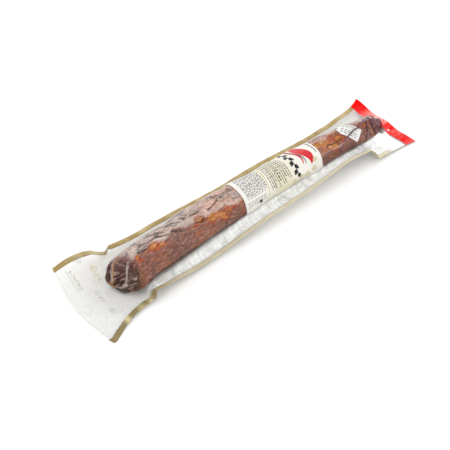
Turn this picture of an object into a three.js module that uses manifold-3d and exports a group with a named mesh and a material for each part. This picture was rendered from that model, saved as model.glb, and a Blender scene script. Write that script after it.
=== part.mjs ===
// A whole cured pork loin in a clear vacuum pouch, lying on the pouch's back film.
// Millimetres, +Z up. X runs along the loin, from its blunt end (x = 0) to its tied end.
// The camera side of the pouch is -Y ("front"), the far side is +Y ("back").
import * as THREE from 'three';
import { mergeVertices } from 'three/addons/utils/BufferGeometryUtils.js';
import Module from 'manifold-3d';

// The loin
const FAT_RADIUS = 31.3; // at its fattest, near the blunt end
const FAT_X = 90;
const TAPER = 0.0213; // radius lost for each mm along
const BLUNT_SHRINK = 0.21; // share of the radius lost between FAT_X and the blunt end
const BLUNT_POWER = 1.6;
const FACE_X = 13; // where the axis meets the slanting end face
const FACE_ROUND = 16; // depth of the rounding behind that face
const FACE_TURN = 0.5; // slant of the face across the loin, mm for each mm
const FACE_TILT = 0.3; // and up it
const SLANT_REACH = 80; // the slant dies out this far along
const SHOULDER_X = 480;
const SHOULDER_END = 546;
const SHOULDER_SHRINK = 0.26; // share of the radius lost over the shoulder
const NECK_X = 553; // the neck is at its narrowest from here
const TIE_X = 555.5;
const NECK_RADIUS = 5.5;
const LOIN_END = 561;
const NECK_Z = 19;
const BOW = 8.8; // sideways bow of the whole loin
const BOW_Y = -5.5;
const BOW_LENGTH = 520;
const REST_Z = 1.5; // underside of the loin, above the film it lies on
const SQUASH = 0.975; // axis height as a share of the radius, where its weight flattens it

// The pouch
const FILM = 1.2;
const GAP = 0.35; // clearance between neighbouring solids
const BAND = 8; // width of the printed gold edge
const RED_X = 563.3; // the red end band runs from here to the end of the pouch
const POUCH_END = 586;
const TAIL_X = -58; // open tail beyond the blunt end
const TAIL_BOW = 12; // how far the middle of its cut edge stands out beyond its corners
const TAIL_LIFT = 6; // how far the open tail rises off the table towards its cut edge
const TAIL_RISES_X = -5;
const TAIL_FLAT = [-44, -26]; // the strip of the tail's cut edge that stays on the table
const END_LIFT = 5; // the far end does so too, in waves
const END_RISES_X = 552;
const END_WAVE = 66; // from crest to crest
const END_CREST_Y = -2;
const LIFT_POWER = 1.5;
const CALM_Y = -70; // neither rises here, at the front edge, but both do from here to CALM_Y + CALM_REACH
const CALM_REACH = 35;
const CLING = 0.85; // height at which the film leaves the loin's flank, as a share of the radius
const FACE_CLING = 0.4; // the same at the blunt end, where the film is sucked flat on the face
const CLING_REACH = 26; // how far the hollow curve reaches beyond the loin's two ends
const CLING_POWER = 2.3;
const DISH_POWER = 1.6; // how the back film curves up from the table to its edges
const FLAT_SHARE = 0.72; // half width that lies flat under the loin, as a share of the radius
const LEVEL = 5; // the outermost strip of the pouch is level

// The two edges of the pouch: [x, y, z], in the open tail, beside the loin and beyond it
const FRONT_EDGE = {
  tail: [[-52, -73, 0], [-15, -59, 3], [15, -53, 5], [40, -53, 7]],
  body: [
    [40, -52, 22], [67, -50, 14], [150, -50, 7], [250, -50, 16], [376, -50, 20], [446, -50, 27],
    [498, -50, 19],
  ],
  end: [[498, -62, 7], [557, -65, 3], [586, -70, 2]],
};
const BACK_EDGE = {
  tail: [[-52, 71, 36], [-23, 71, 38], [12, 72, 26], [29, 73, 11], [43, 73, 2]],
  body: [
    [43, 69, 17], [85, 68, 11], [145, 67, 10], [254, 66, 3], [340, 64, 5], [450, 57, 5], [500, 56, 7],
  ],
  end: [[500, 56, 7], [560, 60, 9], [586, 68, 10]],
};
// The film is pleated across at both ends of the loin, along these lines: [y, x]
const NEAR_PLEAT = [[-52, 42], [-30, 27], [24, 8], [69, 43]];
const FAR_PLEAT = [[-50, 500], [-20, 530], [20, 530], [60, 505]];
const PLEAT = 3; // half width of a pleat

// The label, tag and twine; angles in degrees from the top of the loin, towards the front
const LABEL_X = [240, 406];
const LABEL_ANGLES = [128, -115];
const PAPER = 0.6;
const PAPER_LIFT = 0.6; // the stiff paper bridges the small dents
const TAG_X = 481;
const TAG_ARC = 6; // millimetres round from the top
const TAG_LENGTH = 41;
const TAG_WIDTH = 26;
const TAG_TURN = 50;
const TAG_CORNER = 9; // its two cut corners
const CORNER_SLOPE = 0.8;
const TWINE_RADIUS = 1.2;
const TWINE_ROUTE = [ // [x, angle, lift over the tag]
  [508, 82, 0], [513, 60, 0], [517, 36, 0], [521, 14, 0.4], [517, 2, 0.8], [510, 12, 1.1],
  [500, 22, 1.6], [490, 24, 1.6], [479, 30, 1.6], [468, 38, 1.6], [459, 46, 1.3], [452, 56, 0.3],
  [448, 68, 0], [448, 80, 0],
];

const { lerp, clamp, smoothstep, degToRad } = THREE.MathUtils;

// ---- the loin's form ----

// Half the thickness of the loin at x, before the rounding of its end face.
function radiusAt(x) {
  const body = FAT_RADIUS - TAPER * (x - FAT_X);
  const blunt = 1 - BLUNT_SHRINK * clamp(1 - x / FAT_X, 0, 1) ** BLUNT_POWER;
  const along = clamp((x - SHOULDER_X) / (SHOULDER_END - SHOULDER_X), 0, 1);
  const shoulder = 1 - SHOULDER_SHRINK * along ** 2;
  const full = body * blunt * shoulder;
  return lerp(full, NECK_RADIUS, smoothstep(x, SHOULDER_END - 3, NECK_X));
}

function axisY(x) {
  return BOW_Y + BOW * Math.sin((Math.PI * clamp(x, 0, BOW_LENGTH)) / BOW_LENGTH);
}

function axisZ(x) {
  return lerp(REST_Z + SQUASH * radiusAt(x), NECK_Z, smoothstep(x, SHOULDER_X, NECK_X));
}

// Slow dents and swellings of the meat, and the puckers of its casing at both ends.
function reliefAt(x, angle) {
  const dents = 0.9 * Math.sin(3 * angle + 0.021 * x + 1.3) * Math.sin(0.045 * x + 0.7);
  const folds = 0.6 * Math.sin(5 * angle - 0.035 * x) + 0.5 * Math.sin(0.11 * x + 2 * angle);
  const nearPucker = 1.3 * Math.cos(6 * angle + 0.8) * (1 - smoothstep(x, FACE_X, 60));
  const farPucker = 1.2 * Math.cos(7 * angle) * smoothstep(x, 515, SHOULDER_END);
  const calm = 1 - 0.8 * smoothstep(x, SHOULDER_END, NECK_X);
  return (dents + folds + nearPucker + farPucker) * calm;
}

// A point of the loin's skin, raised by lift. The end face slants, so x is the place on the axis.
function onLoin(x, angle, lift = 0, share = 1) {
  const radius = (radiusAt(x) + reliefAt(x, angle)) * share + lift;
  const across = -radius * Math.sin(angle);
  const up = radius * Math.cos(angle);
  const slant = clamp(1 - (x - FACE_X) / SLANT_REACH, 0, 1) ** 2;
  const shift = slant * (-FACE_TURN * across + FACE_TILT * up);
  const z = Math.max(axisZ(x) + up, REST_Z - lift);
  return new THREE.Vector3(x + shift, axisY(x) + across, z);
}

// ---- the pouch's form ----

// A smooth line through points, reading column `key` against column `from`, level beyond its ends.
function through(points, from, key) {
  const last = points.length - 1;
  const slopeAt = (i) => {
    const a = points[Math.max(i - 1, 0)];
    const b = points[Math.min(i + 1, last)];
    return (b[key] - a[key]) / (b[from] - a[from]);
  };
  return (place) => {
    const at = clamp(place, points[0][from], points[last][from]);
    const found = points.findLastIndex((p) => p[from] <= at);
    const i = clamp(found, 0, last - 1);
    const width = points[i + 1][from] - points[i][from];
    const t = (at - points[i][from]) / width;
    const rise = (1 + 2 * t) * (1 - t) ** 2 * points[i][key] + t * t * (3 - 2 * t) * points[i + 1][key];
    const lean = t * (1 - t) ** 2 * slopeAt(i) - t * t * (1 - t) * slopeAt(i + 1);
    return rise + lean * width;
  };
}

// One edge of the pouch: its y at x, and the height that it gives the film at (x, y).
function edge(stretches) {
  const read = (key) => ({
    tail: through(stretches.tail, 0, key),
    body: through(stretches.body, 0, key),
    end: through(stretches.end, 0, key),
  });
  const joined = (line, x, near, far) => {
    const beside = lerp(line.tail(x), line.body(x), smoothstep(x, near - PLEAT, near + PLEAT));
    return lerp(beside, line.end(x), smoothstep(x, far - PLEAT, far + PLEAT));
  };
  const ys = read(1);
  const zs = read(2);
  const nearEnd = stretches.body[0][0];
  const farEnd = stretches.end[0][0];
  return {
    y: (x) => joined(ys, x, nearEnd, farEnd),
    z: (x, y) => joined(zs, x, nearPleat(y), farPleat(y)),
  };
}

const nearPleat = through(NEAR_PLEAT, 0, 1);
const farPleat = through(FAR_PLEAT, 0, 1);
const front = edge(FRONT_EDGE);
const back = edge(BACK_EDGE);

// The strip that lies flat on the table; in the open tail it drifts towards the front corner.
function flatStrip(x) {
  const half = FLAT_SHARE * radiusAt(Math.max(x, FACE_X));
  const drift = clamp(x / TAIL_X, 0, 1);
  return [lerp(axisY(x) - half, TAIL_FLAT[0], drift), lerp(axisY(x) + half, TAIL_FLAT[1], drift)];
}

// Height of the back film's underside.
function underside(x, y) {
  const [flatFront, flatBack] = flatStrip(x);
  const side = y < flatFront ? front : back;
  const out = y < flatFront ? flatFront - y : y - flatBack;
  const whole = y < flatFront ? flatFront - front.y(x) : back.y(x) - flatBack;
  const share = clamp(out / (whole - LEVEL), 0, 1);
  const tail = TAIL_LIFT * clamp((x - TAIL_RISES_X) / (TAIL_X - TAIL_RISES_X), 0, 1) ** LIFT_POWER;
  const wave = 0.5 + 0.5 * Math.cos((2 * Math.PI * (y - END_CREST_Y)) / END_WAVE);
  const end = END_LIFT * wave * clamp((x - END_RISES_X) / (POUCH_END - END_RISES_X), 0, 1) ** LIFT_POWER;
  const free = clamp((y - CALM_Y) / CALM_REACH, 0, 1) * (1 - share ** 2);
  return side.z(x, y) * share ** DISH_POWER + (tail + end) * free;
}

// Height of the front film: it runs down from the loin's flank and ends in a hollow curve.
function topside(x, y) {
  const axis = axisY(clamp(x, FACE_X, LOIN_END));
  const radius = radiusAt(clamp(x, FACE_X, LOIN_END));
  const edgeGap = y < axis ? axis - radius - front.y(x) : back.y(x) - axis - radius;
  const besides = Math.max(Math.abs(y - axis) - radius, 0) / Math.max(edgeGap - BAND - 1, 4);
  const faceX = FACE_X - FACE_TURN * (y - axis);
  const beyond = Math.max(faceX - x, x - LOIN_END, 0) / CLING_REACH;
  const left = clamp(1 - Math.hypot(besides, beyond), 0, 1);
  const cling = lerp(FACE_CLING, CLING, smoothstep(x, FACE_X, FACE_X + 50));
  return underside(x, y) + FILM + cling * radius * left ** CLING_POWER;
}

// A point of the pouch: station along, y across, on its underside or its topside.
function onPouch(station, y, height) {
  const share = (y - front.y(station)) / (back.y(station) - front.y(station));
  const bow = TAIL_BOW * ((2 * share - 1) ** 2 - 0.5);
  const x = station + bow * clamp(station / TAIL_X, 0, 1) ** 2;
  return new THREE.Vector3(x, y, height(x, y));
}

// ---- closed solids from points ----

function solidOf(points, triangles) {
  const geometry = new THREE.BufferGeometry().setFromPoints(points);
  geometry.setIndex(triangles);
  return geometry;
}

// A skin over rings of points that all run the same way round, closed by a fan at each end.
function overRings(rings) {
  const count = rings[0].length;
  const points = rings.flat();
  const triangles = [];
  for (let i = 0; i + 1 < rings.length; i += 1) {
    for (let j = 0; j < count; j += 1) {
      const a = i * count + j;
      const b = i * count + ((j + 1) % count);
      triangles.push(a, b, a + count, b, b + count, a + count);
    }
  }
  for (const [first, flip] of [[0, false], [(rings.length - 1) * count, true]]) {
    const middle = new THREE.Vector3();
    points.slice(first, first + count).forEach((p) => middle.addScaledVector(p, 1 / count));
    const hub = points.push(middle) - 1;
    for (let j = 0; j < count; j += 1) {
      const a = first + j;
      const b = first + ((j + 1) % count);
      triangles.push(...(flip ? [a, b, hub] : [b, a, hub]));
    }
  }
  return solidOf(points, triangles);
}

// A thin solid between two grids, upper[i][j] over lower[i][j], i along X and j across.
function betweenGrids(lower, upper) {
  const rows = lower.length;
  const columns = lower[0].length;
  const points = [...lower.flat(), ...upper.flat()];
  const low = (i, j) => i * columns + j;
  const high = (i, j) => rows * columns + i * columns + j;
  const triangles = [];
  const face = (a, b, c, d) => triangles.push(a, b, c, a, c, d);
  for (let i = 0; i + 1 < rows; i += 1) {
    for (let j = 0; j + 1 < columns; j += 1) {
      face(high(i, j), high(i + 1, j), high(i + 1, j + 1), high(i, j + 1));
      face(low(i, j + 1), low(i + 1, j + 1), low(i + 1, j), low(i, j));
    }
    face(low(i, 0), low(i + 1, 0), high(i + 1, 0), high(i, 0));
    face(high(i, columns - 1), high(i + 1, columns - 1), low(i + 1, columns - 1), low(i, columns - 1));
  }
  for (let j = 0; j + 1 < columns; j += 1) {
    face(high(0, j), high(0, j + 1), low(0, j + 1), low(0, j));
    face(low(rows - 1, j), low(rows - 1, j + 1), high(rows - 1, j + 1), high(rows - 1, j));
  }
  return solidOf(points, triangles);
}

// Even steps from start to end.
function steps(start, end, count) {
  return Array.from({ length: count + 1 }, (_, i) => lerp(start, end, i / count));
}

const wasm = await Module();
wasm.setup();

function manifoldOf(geometry) {
  const bare = geometry.clone();
  bare.deleteAttribute('normal');
  bare.deleteAttribute('uv');
  const merged = mergeVertices(bare, 1e-4);
  const vertProperties = new Float32Array(merged.attributes.position.array);
  const triVerts = new Uint32Array(merged.index.array);
  return new wasm.Manifold(new wasm.Mesh({ numProp: 3, vertProperties, triVerts }));
}

function geometryOf(manifold) {
  const mesh = manifold.getMesh();
  const geometry = new THREE.BufferGeometry();
  geometry.setAttribute('position', new THREE.BufferAttribute(new Float32Array(mesh.vertProperties), 3));
  geometry.setIndex(new THREE.BufferAttribute(new Uint32Array(mesh.triVerts), 1));
  return geometry;
}

// ---- the pieces ----

const AROUND = 26;

// Rings of the loin's skin from the end face to the tuft beyond the tied neck.
function loinSkin(lift) {
  const face = [[0, 0.5], [0.8, 0.72], [2.5, 0.86], [6, 0.95], [11, 0.99]]; // [depth, share of the radius]
  const tuft = [[LOIN_END - 1.5, 1.2], [LOIN_END + lift, 0.9]];
  const rings = face.map(([depth, share]) => [FACE_X + depth - (depth ? 0 : lift), share]);
  const body = [...steps(FACE_X + FACE_ROUND, 500, 32), 512, 523, 533, 541];
  [...body, SHOULDER_END, 549.5, NECK_X, TIE_X + 2].forEach((x) => rings.push([x, 1]));
  rings.push(...tuft);
  return overRings(rings.map(([x, share]) => {
    const angles = steps(0, 2 * Math.PI, AROUND).slice(0, AROUND);
    return angles.map((angle) => onLoin(x, angle, lift, share));
  }));
}

// A thin shell on the loin, from one lift to another, over places x and angles in degrees.
function loinShell(places, angles, inner, outer) {
  const grid = (lift) => places.map((x) => angles.map((a) => onLoin(x, degToRad(a), lift)));
  return betweenGrids(grid(inner), grid(outer));
}

function label() {
  const angles = steps(...LABEL_ANGLES, 24);
  return loinShell(steps(...LABEL_X, 11), angles, PAPER_LIFT, PAPER_LIFT + PAPER);
}

// The room that the label takes out of the pouch.
function labelRoom() {
  const places = steps(LABEL_X[0] - GAP, LABEL_X[1] + GAP, 11);
  const angles = steps(LABEL_ANGLES[0] + 1.5, LABEL_ANGLES[1] - 1.5, 24);
  return loinShell(places, angles, -1, PAPER_LIFT + PAPER + GAP);
}

// The paper tag lies askew on the top of the loin, its far corners cut off.
function tag() {
  const turn = degToRad(TAG_TURN);
  const place = (along, across, lift) => {
    const x = TAG_X + along * Math.cos(turn) + across * Math.sin(turn);
    const arc = TAG_ARC + along * Math.sin(turn) - across * Math.cos(turn);
    return onLoin(x, arc / radiusAt(x), lift);
  };
  const lengths = steps(-TAG_LENGTH / 2, TAG_LENGTH / 2, 8);
  const cutAt = (along) => Math.max(TAG_CORNER - TAG_LENGTH / 2 - along, 0) * CORNER_SLOPE;
  const halfAt = (along) => TAG_WIDTH / 2 - cutAt(along);
  const grid = (lift) => lengths.map((along) => {
    const half = halfAt(along);
    return steps(half, -half, 4).map((across) => place(along, across, lift)).reverse();
  });
  return betweenGrids(grid(PAPER_LIFT), grid(PAPER_LIFT + PAPER));
}

// Twine: one length from the loin's far end, over the tag and down the front flank.
function twine() {
  const centre = GAP + TWINE_RADIUS;
  const route = TWINE_ROUTE.map(([x, angle, lift]) => onLoin(x, degToRad(angle), centre + lift));
  const section = new THREE.Shape(new THREE.EllipseCurve(0, 0, TWINE_RADIUS, TWINE_RADIUS).getPoints(8));
  const path = new THREE.CatmullRomCurve3(route);
  return new THREE.ExtrudeGeometry(section, { steps: 56, extrudePath: path, curveSegments: 8 });
}

// The turns of twine that tie the neck.
function neckTie() {
  const tie = new THREE.TorusGeometry(NECK_RADIUS + 2.1, TWINE_RADIUS, 8, 20);
  tie.rotateY(Math.PI / 2);
  tie.translate(TIE_X, axisY(TIE_X), NECK_Z);
  return tie;
}

// Places along the pouch, closer together in its tail and at its two pleats.
const STATIONS = [
  ...[TAIL_X, -46, -34, -24, -15, -8, -2, 4, 10, 16, 23, 30, 36, 40, 43, 46, 52],
  ...steps(64, 484, 28),
  ...[493, 497, 500, 503, 512, 524, 536, 548, 556],
];

// Lines across the pouch between its edge bands, closer together where the film leaves the loin.
function pouchRows(station) {
  const [flatFront, flatBack] = flatStrip(station);
  const axis = axisY(clamp(station, FACE_X, LOIN_END));
  const radius = radiusAt(clamp(station, FACE_X, LOIN_END));
  const frontStart = front.y(station) + BAND + GAP;
  const backEnd = back.y(station) - BAND - GAP;
  const frontFlank = Math.max(Math.min(axis - radius, flatFront - 2), frontStart + 3);
  const backFlank = Math.max(axis + radius, flatBack + 2);
  const frontRows = [0, 0.3, 0.65, 1].map((t) => lerp(frontStart, frontFlank, t));
  const backRows = [0, 0.12, 0.3, 0.55, 1].map((t) => lerp(backFlank, backEnd, t));
  const flatRows = [0, 0.25, 0.5, 0.75, 1].map((t) => lerp(Math.max(flatFront, frontFlank + 1), flatBack, t));
  return [...frontRows, ...flatRows, ...backRows];
}

function bag() {
  const stations = [...STATIONS, RED_X - GAP];
  const grid = (height) => stations.map((s) => pouchRows(s).map((y) => onPouch(s, y, height)));
  const sheet = manifoldOf(betweenGrids(grid(underside), grid(topside)));
  const cradle = sheet.subtract(manifoldOf(loinSkin(GAP))).subtract(manifoldOf(labelRoom()));
  return geometryOf(cradle);
}

// The printed gold edge: the outermost strip of the pouch on one side.
function goldEdge(side, inwards) {
  const stations = [...STATIONS, RED_X - GAP];
  const rows = inwards > 0 ? [0, BAND] : [-BAND, 0];
  const plate = (x, y) => underside(x, y) + FILM;
  const grid = (height) => stations.map((s) => rows.map((dy) => onPouch(s, side.y(s) + dy, height)));
  return betweenGrids(grid(underside), grid(plate));
}

function redEnd() {
  const plate = (x, y) => underside(x, y) + FILM;
  const stations = steps(RED_X, POUCH_END, 3);
  const grid = (height) => stations.map((s) => {
    return steps(front.y(s), back.y(s), 16).map((y) => onPouch(s, y, height));
  });
  return betweenGrids(grid(underside), grid(plate));
}

// ---- the object ----

const group = new THREE.Group();

function add(name, geometry, color, roughness, metalness = 0, opacity = 1) {
  const material = new THREE.MeshStandardMaterial({ color, roughness, metalness });
  material.opacity = opacity;
  material.transparent = opacity < 1;
  const mesh = new THREE.Mesh(geometry, material);
  mesh.name = name;
  group.add(mesh);
}

add('loin', loinSkin(0), 0x8a3f26, 0.45);
add('bag', bag(), 0xe9e8e4, 0.2, 0, 0.35);
add('gold_edge_front', goldEdge(front, 1), 0xb59a62, 0.35, 0.3);
add('gold_edge_back', goldEdge(back, -1), 0xb59a62, 0.35, 0.3);
add('red_end_band', redEnd(), 0xd81e1e, 0.3);
add('label', label(), 0xf1ede2, 0.35);
add('tag', tag(), 0xf4f3ef, 0.6);
add('twine', twine(), 0x4a2530, 0.8);
add('neck_tie', neckTie(), 0x4a2530, 0.8);

// The origin stands under the middle of the whole, on the table.
const box = new THREE.Box3().setFromObject(group);
const middle = box.getCenter(new THREE.Vector3());
group.position.set(-middle.x, -middle.y, -box.min.z);

export default group;
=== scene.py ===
"""A whole cured pork loin in a clear vacuum pouch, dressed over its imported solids.

Sizes are millimetres, +Z up. X runs along the loin from its blunt end (x = 0) to its tied end, and -Y is
the side that the photograph shows.
"""
import math

import bpy
import numpy as np
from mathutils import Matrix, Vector


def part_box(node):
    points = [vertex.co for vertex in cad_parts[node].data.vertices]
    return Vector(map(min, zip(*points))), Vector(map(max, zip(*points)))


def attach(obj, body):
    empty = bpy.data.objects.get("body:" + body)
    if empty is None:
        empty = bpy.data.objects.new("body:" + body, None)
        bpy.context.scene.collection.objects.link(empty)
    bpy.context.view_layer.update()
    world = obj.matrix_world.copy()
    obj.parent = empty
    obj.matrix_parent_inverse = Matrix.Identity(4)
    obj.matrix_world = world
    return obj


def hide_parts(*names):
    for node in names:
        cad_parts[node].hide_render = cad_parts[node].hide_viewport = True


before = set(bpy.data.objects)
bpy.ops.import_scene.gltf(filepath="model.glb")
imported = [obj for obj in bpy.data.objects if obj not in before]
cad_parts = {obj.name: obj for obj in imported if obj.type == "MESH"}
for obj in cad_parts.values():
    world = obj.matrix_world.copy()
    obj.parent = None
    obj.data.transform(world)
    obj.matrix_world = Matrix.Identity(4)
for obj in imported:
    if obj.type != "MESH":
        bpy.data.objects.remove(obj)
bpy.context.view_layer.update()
scene = bpy.context.scene


# ---- The view --------------------------------------------------------------------------------------
# The pack is seen from above its front near corner, through a long lens held level. The camera's place is
# in metres, its lens and sensor in millimetres.

CAMERA_PLACE = (-0.7673, -0.8140, 1.1077)
LOOKS_ALONG = (0.46499, 0.52306, -0.71428)
LENS = 80
SENSOR = 36

camera_data = bpy.data.cameras.new("camera")
camera_data.lens = LENS
camera_data.sensor_width = SENSOR
camera = bpy.data.objects.new("camera", camera_data)
camera.location = CAMERA_PLACE
camera.rotation_euler = Vector(LOOKS_ALONG).to_track_quat("-Z", "Y").to_euler()
scene.collection.objects.link(camera)
scene.camera = camera


# ---- The loin --------------------------------------------------------------------------------------
# A whole pork loin, cured and dried in a natural casing that has shrunk onto it in fine creases. Its blunt
# end is cut slanting and puckered dark, and its other end is drawn together into a neck.

MM = 0.001
FAT_RADIUS = 31.3
FAT_X = 90
TAPER = 0.0213
BLUNT_SHRINK = 0.21
BLUNT_POWER = 1.6
FACE_X = 13
FACE_ROUND = 16
FACE_FULLNESS = 5.13  # how squarely the end face turns into the flank
FACE_HUB = 0.03  # share of the radius where the face's rows start, round its middle
FACE_TURN = 0.5
FACE_TILT = 0.3
SLANT_REACH = 80
SHOULDER_X = 480
NECK_FROM = 542
BODY_END = 543
SHOULDER_END = 546
SHOULDER_SHRINK = 0.26
NECK_X = 553
TIE_X = 555.5
NECK_RADIUS = 5.5
LOIN_END = 561
NECK_Z = 19
BOW = 8.8
BOW_Y = -5.5
BOW_LENGTH = 520
REST_Z = 1.5
SQUASH = 0.975

# The middle of the neck tie is a known place of the solids, so it sets where x = 0 and y = 0 are.
tie_low, tie_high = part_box("neck_tie")
tie_middle = (tie_low + tie_high) / 2
START = np.array([tie_middle.x / MM - TIE_X, tie_middle.y / MM - BOW_Y, 0])

LATTICE = np.random.default_rng(11).uniform(-1, 1, (32, 32, 32))


def unit(value):
    return np.clip(value, 0, 1)


def ease(value, low, high):
    share = unit((value - low) / (high - low))
    return share * share * (3 - 2 * share)


def fall(value, low, high):
    return 1 - ease(value, low, high)


def span(value, low, full, falling, high):
    """1 from full to falling, easing up to it from low and down from it to high."""
    return ease(value, low, full) * fall(value, falling, high)


def mixed(a, b, share):
    return a + (b - a) * share


def hump(value, middle, width):
    return np.exp(-(((value - middle) / width) ** 2))


def flat_points(x, y):
    return np.stack([x, y, 0 * x], axis=-1)


def mottle(points, cell):
    """Smooth unevenness from -1 to 1 over points, its swellings about `cell` mm across."""
    place = points / np.asarray(cell, float)
    low = np.floor(place).astype(int)
    part = place - low
    part = part * part * (3 - 2 * part)
    total = np.zeros(points.shape[:-1])
    for corner in np.ndindex(2, 2, 2):
        i, j, k = np.moveaxis((low + corner) % len(LATTICE), -1, 0)
        total += np.where(corner, part, 1 - part).prod(-1) * LATTICE[i, j, k]
    return total


def crinkle(points, cell, sharpness=3.0):
    """A net of narrow raised lines, from 0 to 1."""
    return unit(1 - sharpness * np.abs(mottle(points, cell))) ** 1.5


def radius_at(x):
    body = FAT_RADIUS - TAPER * (x - FAT_X)
    blunt = 1 - BLUNT_SHRINK * unit(1 - x / FAT_X) ** BLUNT_POWER
    shoulder = 1 - SHOULDER_SHRINK * unit((x - SHOULDER_X) / (SHOULDER_END - SHOULDER_X)) ** 2
    return mixed(body * blunt * shoulder, NECK_RADIUS, ease(x, BODY_END, NECK_X))


def axis_y(x):
    return BOW_Y + BOW * np.sin(np.pi * np.clip(x, 0, BOW_LENGTH) / BOW_LENGTH)


def axis_z(x):
    return mixed(REST_Z + SQUASH * radius_at(x), NECK_Z, ease(x, SHOULDER_X, NECK_X))


def relief_at(x, angle):
    """Slow dents and swellings of the meat, and the puckers of its casing at both ends."""
    dents = 0.9 * np.sin(3 * angle + 0.021 * x + 1.3) * np.sin(0.045 * x + 0.7)
    folds = 0.6 * np.sin(5 * angle - 0.035 * x) + 0.5 * np.sin(0.11 * x + 2 * angle)
    near_pucker = 1.3 * np.cos(6 * angle + 0.8) * fall(x, FACE_X, 60)
    far_pucker = 1.2 * np.cos(7 * angle) * ease(x, 515, SHOULDER_END)
    return (dents + folds + near_pucker + far_pucker) * (1 - 0.8 * ease(x, SHOULDER_END, NECK_X))


def on_loin(x, angle, lift=0.0, share=1.0):
    """A point of the loin's skin, raised by lift. On its end face, share runs out from the middle."""
    raised = lift * np.minimum(share, 1)
    radius = (radius_at(x) + relief_at(x, angle)) * share + raised
    across = -radius * np.sin(angle)
    up = radius * np.cos(angle)
    slant = unit(1 - (x - FACE_X) / SLANT_REACH) ** 2
    shift = slant * (-FACE_TURN * across + FACE_TILT * up) - (lift - raised)
    z = np.maximum(axis_z(x) + up, REST_Z - lift)
    return np.stack([x + shift, axis_y(x) + across, z], axis=-1)


def loin_places(steps_on_face, step, end):
    """Places along the axis and shares of the radius: over the end face, then along to `end`."""
    share = np.linspace(FACE_HUB, 1, steps_on_face)
    depth = FACE_ROUND * (1 - (1 - share**FACE_FULLNESS) ** 0.25)
    along = np.arange(FACE_X + FACE_ROUND + step, NECK_FROM, step)
    neck = np.arange(NECK_FROM, end, step * 0.6)
    places = np.concatenate([FACE_X + depth, along, neck])
    shares = np.concatenate([share, np.ones(len(along) + len(neck))])
    return places, shares


def in_place(points):
    return (np.asarray(points) + START) * MM


def mesh_piece(name, points, faces, finish, slot, **fields):
    """A smooth mesh through points in mm. Each field is one number a point, for its finish to read."""
    mesh = bpy.data.meshes.new(name)
    mesh.from_pydata(in_place(points).tolist(), [], faces)
    mesh.shade_smooth()
    for field, values in fields.items():
        layer = mesh.attributes.new(field, "FLOAT", "POINT")
        layer.data.foreach_set("value", np.ascontiguousarray(values, np.float32).ravel())
    mesh.materials.append(finish)
    piece = bpy.data.objects.new(name, mesh)
    scene.collection.objects.link(piece)
    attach(piece, "root")
    return piece


def grid_faces(rows, columns, around=False, keep=None):
    """Faces between neighbours of a grid of points; `around` joins its last column to its first."""
    i, j = np.meshgrid(np.arange(rows - 1), np.arange(columns if around else columns - 1), indexing="ij")
    if keep is not None:
        i, j = i[keep], j[keep]
    right = (j + 1) % columns
    corners = [i * columns + j, i * columns + right, (i + 1) * columns + right, (i + 1) * columns + j]
    return np.stack([c.ravel() for c in corners], axis=-1).tolist()


def put(tree, kind, values=(), **settings):
    """Adds a shader node. Each value is a number, or another node's output to link."""
    made = tree.nodes.new("ShaderNode" + kind)
    for setting, value in settings.items():
        setattr(made, setting, value)
    for socket, value in dict(values).items():
        if isinstance(value, bpy.types.NodeSocket):
            tree.links.new(value, made.inputs[socket])
        else:
            made.inputs[socket].default_value = value
    return made


def colour(red, green, blue):
    return (red, green, blue, 1)


def blended(tree, share, low, high):
    """A colour between two others."""
    return put(tree, "Mix", {0: share, 6: low, 7: high}, data_type="RGBA").outputs[2]


def layered(tree, tone, *layers):
    """Lays colours over a first one, each where its share says."""
    for share, over in layers:
        tone = blended(tree, share, tone, over)
    return tone


def levels(tree, value, low, high, bottom=0.0, top=1.0):
    """A value stretched so that low gives bottom and high gives top, and held between them."""
    sockets = {"Value": value, "From Min": low, "From Max": high, "To Min": bottom, "To Max": top}
    return put(tree, "MapRange", sockets).outputs["Result"]


def reckon(tree, operation, a, b=0.5, clamp=False):
    return put(tree, "Math", {0: a, 1: b}, operation=operation, use_clamp=clamp).outputs[0]


def times(tree, a, b):
    return reckon(tree, "MULTIPLY", a, b, clamp=True)


def unevenness(tree, stretch, scale, detail=4.0, roughness=0.6):
    """Noise over the piece, in features of 1 / scale metres, drawn out by `stretch`."""
    where = put(tree, "TexCoord").outputs["Object"]
    drawn = put(tree, "Mapping", {"Vector": where, "Scale": stretch}).outputs["Vector"]
    sockets = {"Vector": drawn, "Scale": scale, "Detail": detail, "Roughness": roughness}
    return put(tree, "TexNoise", sockets).outputs["Fac"]


def field(tree, name):
    return put(tree, "Attribute", attribute_name=name).outputs["Fac"]


def start_finish(name, **sockets):
    """A finish with one main shader, whose constant values stand on its own sockets."""
    material = bpy.data.materials.new(name)
    material.use_nodes = True
    shader = material.node_tree.nodes["Principled BSDF"]
    for socket, value in sockets.items():
        shader.inputs[socket.replace("_", " ")].default_value = value
    return material, material.node_tree


def finished(material, tone, height=None, strength=0.0, depth=0.0, **linked):
    """Gives a finish its colour, its fine relief (depth in metres) and any other varying socket."""
    tree = material.node_tree
    shader = tree.nodes["Principled BSDF"]
    tree.links.new(tone, shader.inputs["Base Color"])
    for socket, value in linked.items():
        tree.links.new(value, shader.inputs[socket])
    if height is not None:
        bump = put(tree, "Bump", {"Strength": strength, "Distance": depth, "Height": height})
        tree.links.new(bump.outputs["Normal"], shader.inputs["Normal"])
    return material


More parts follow.
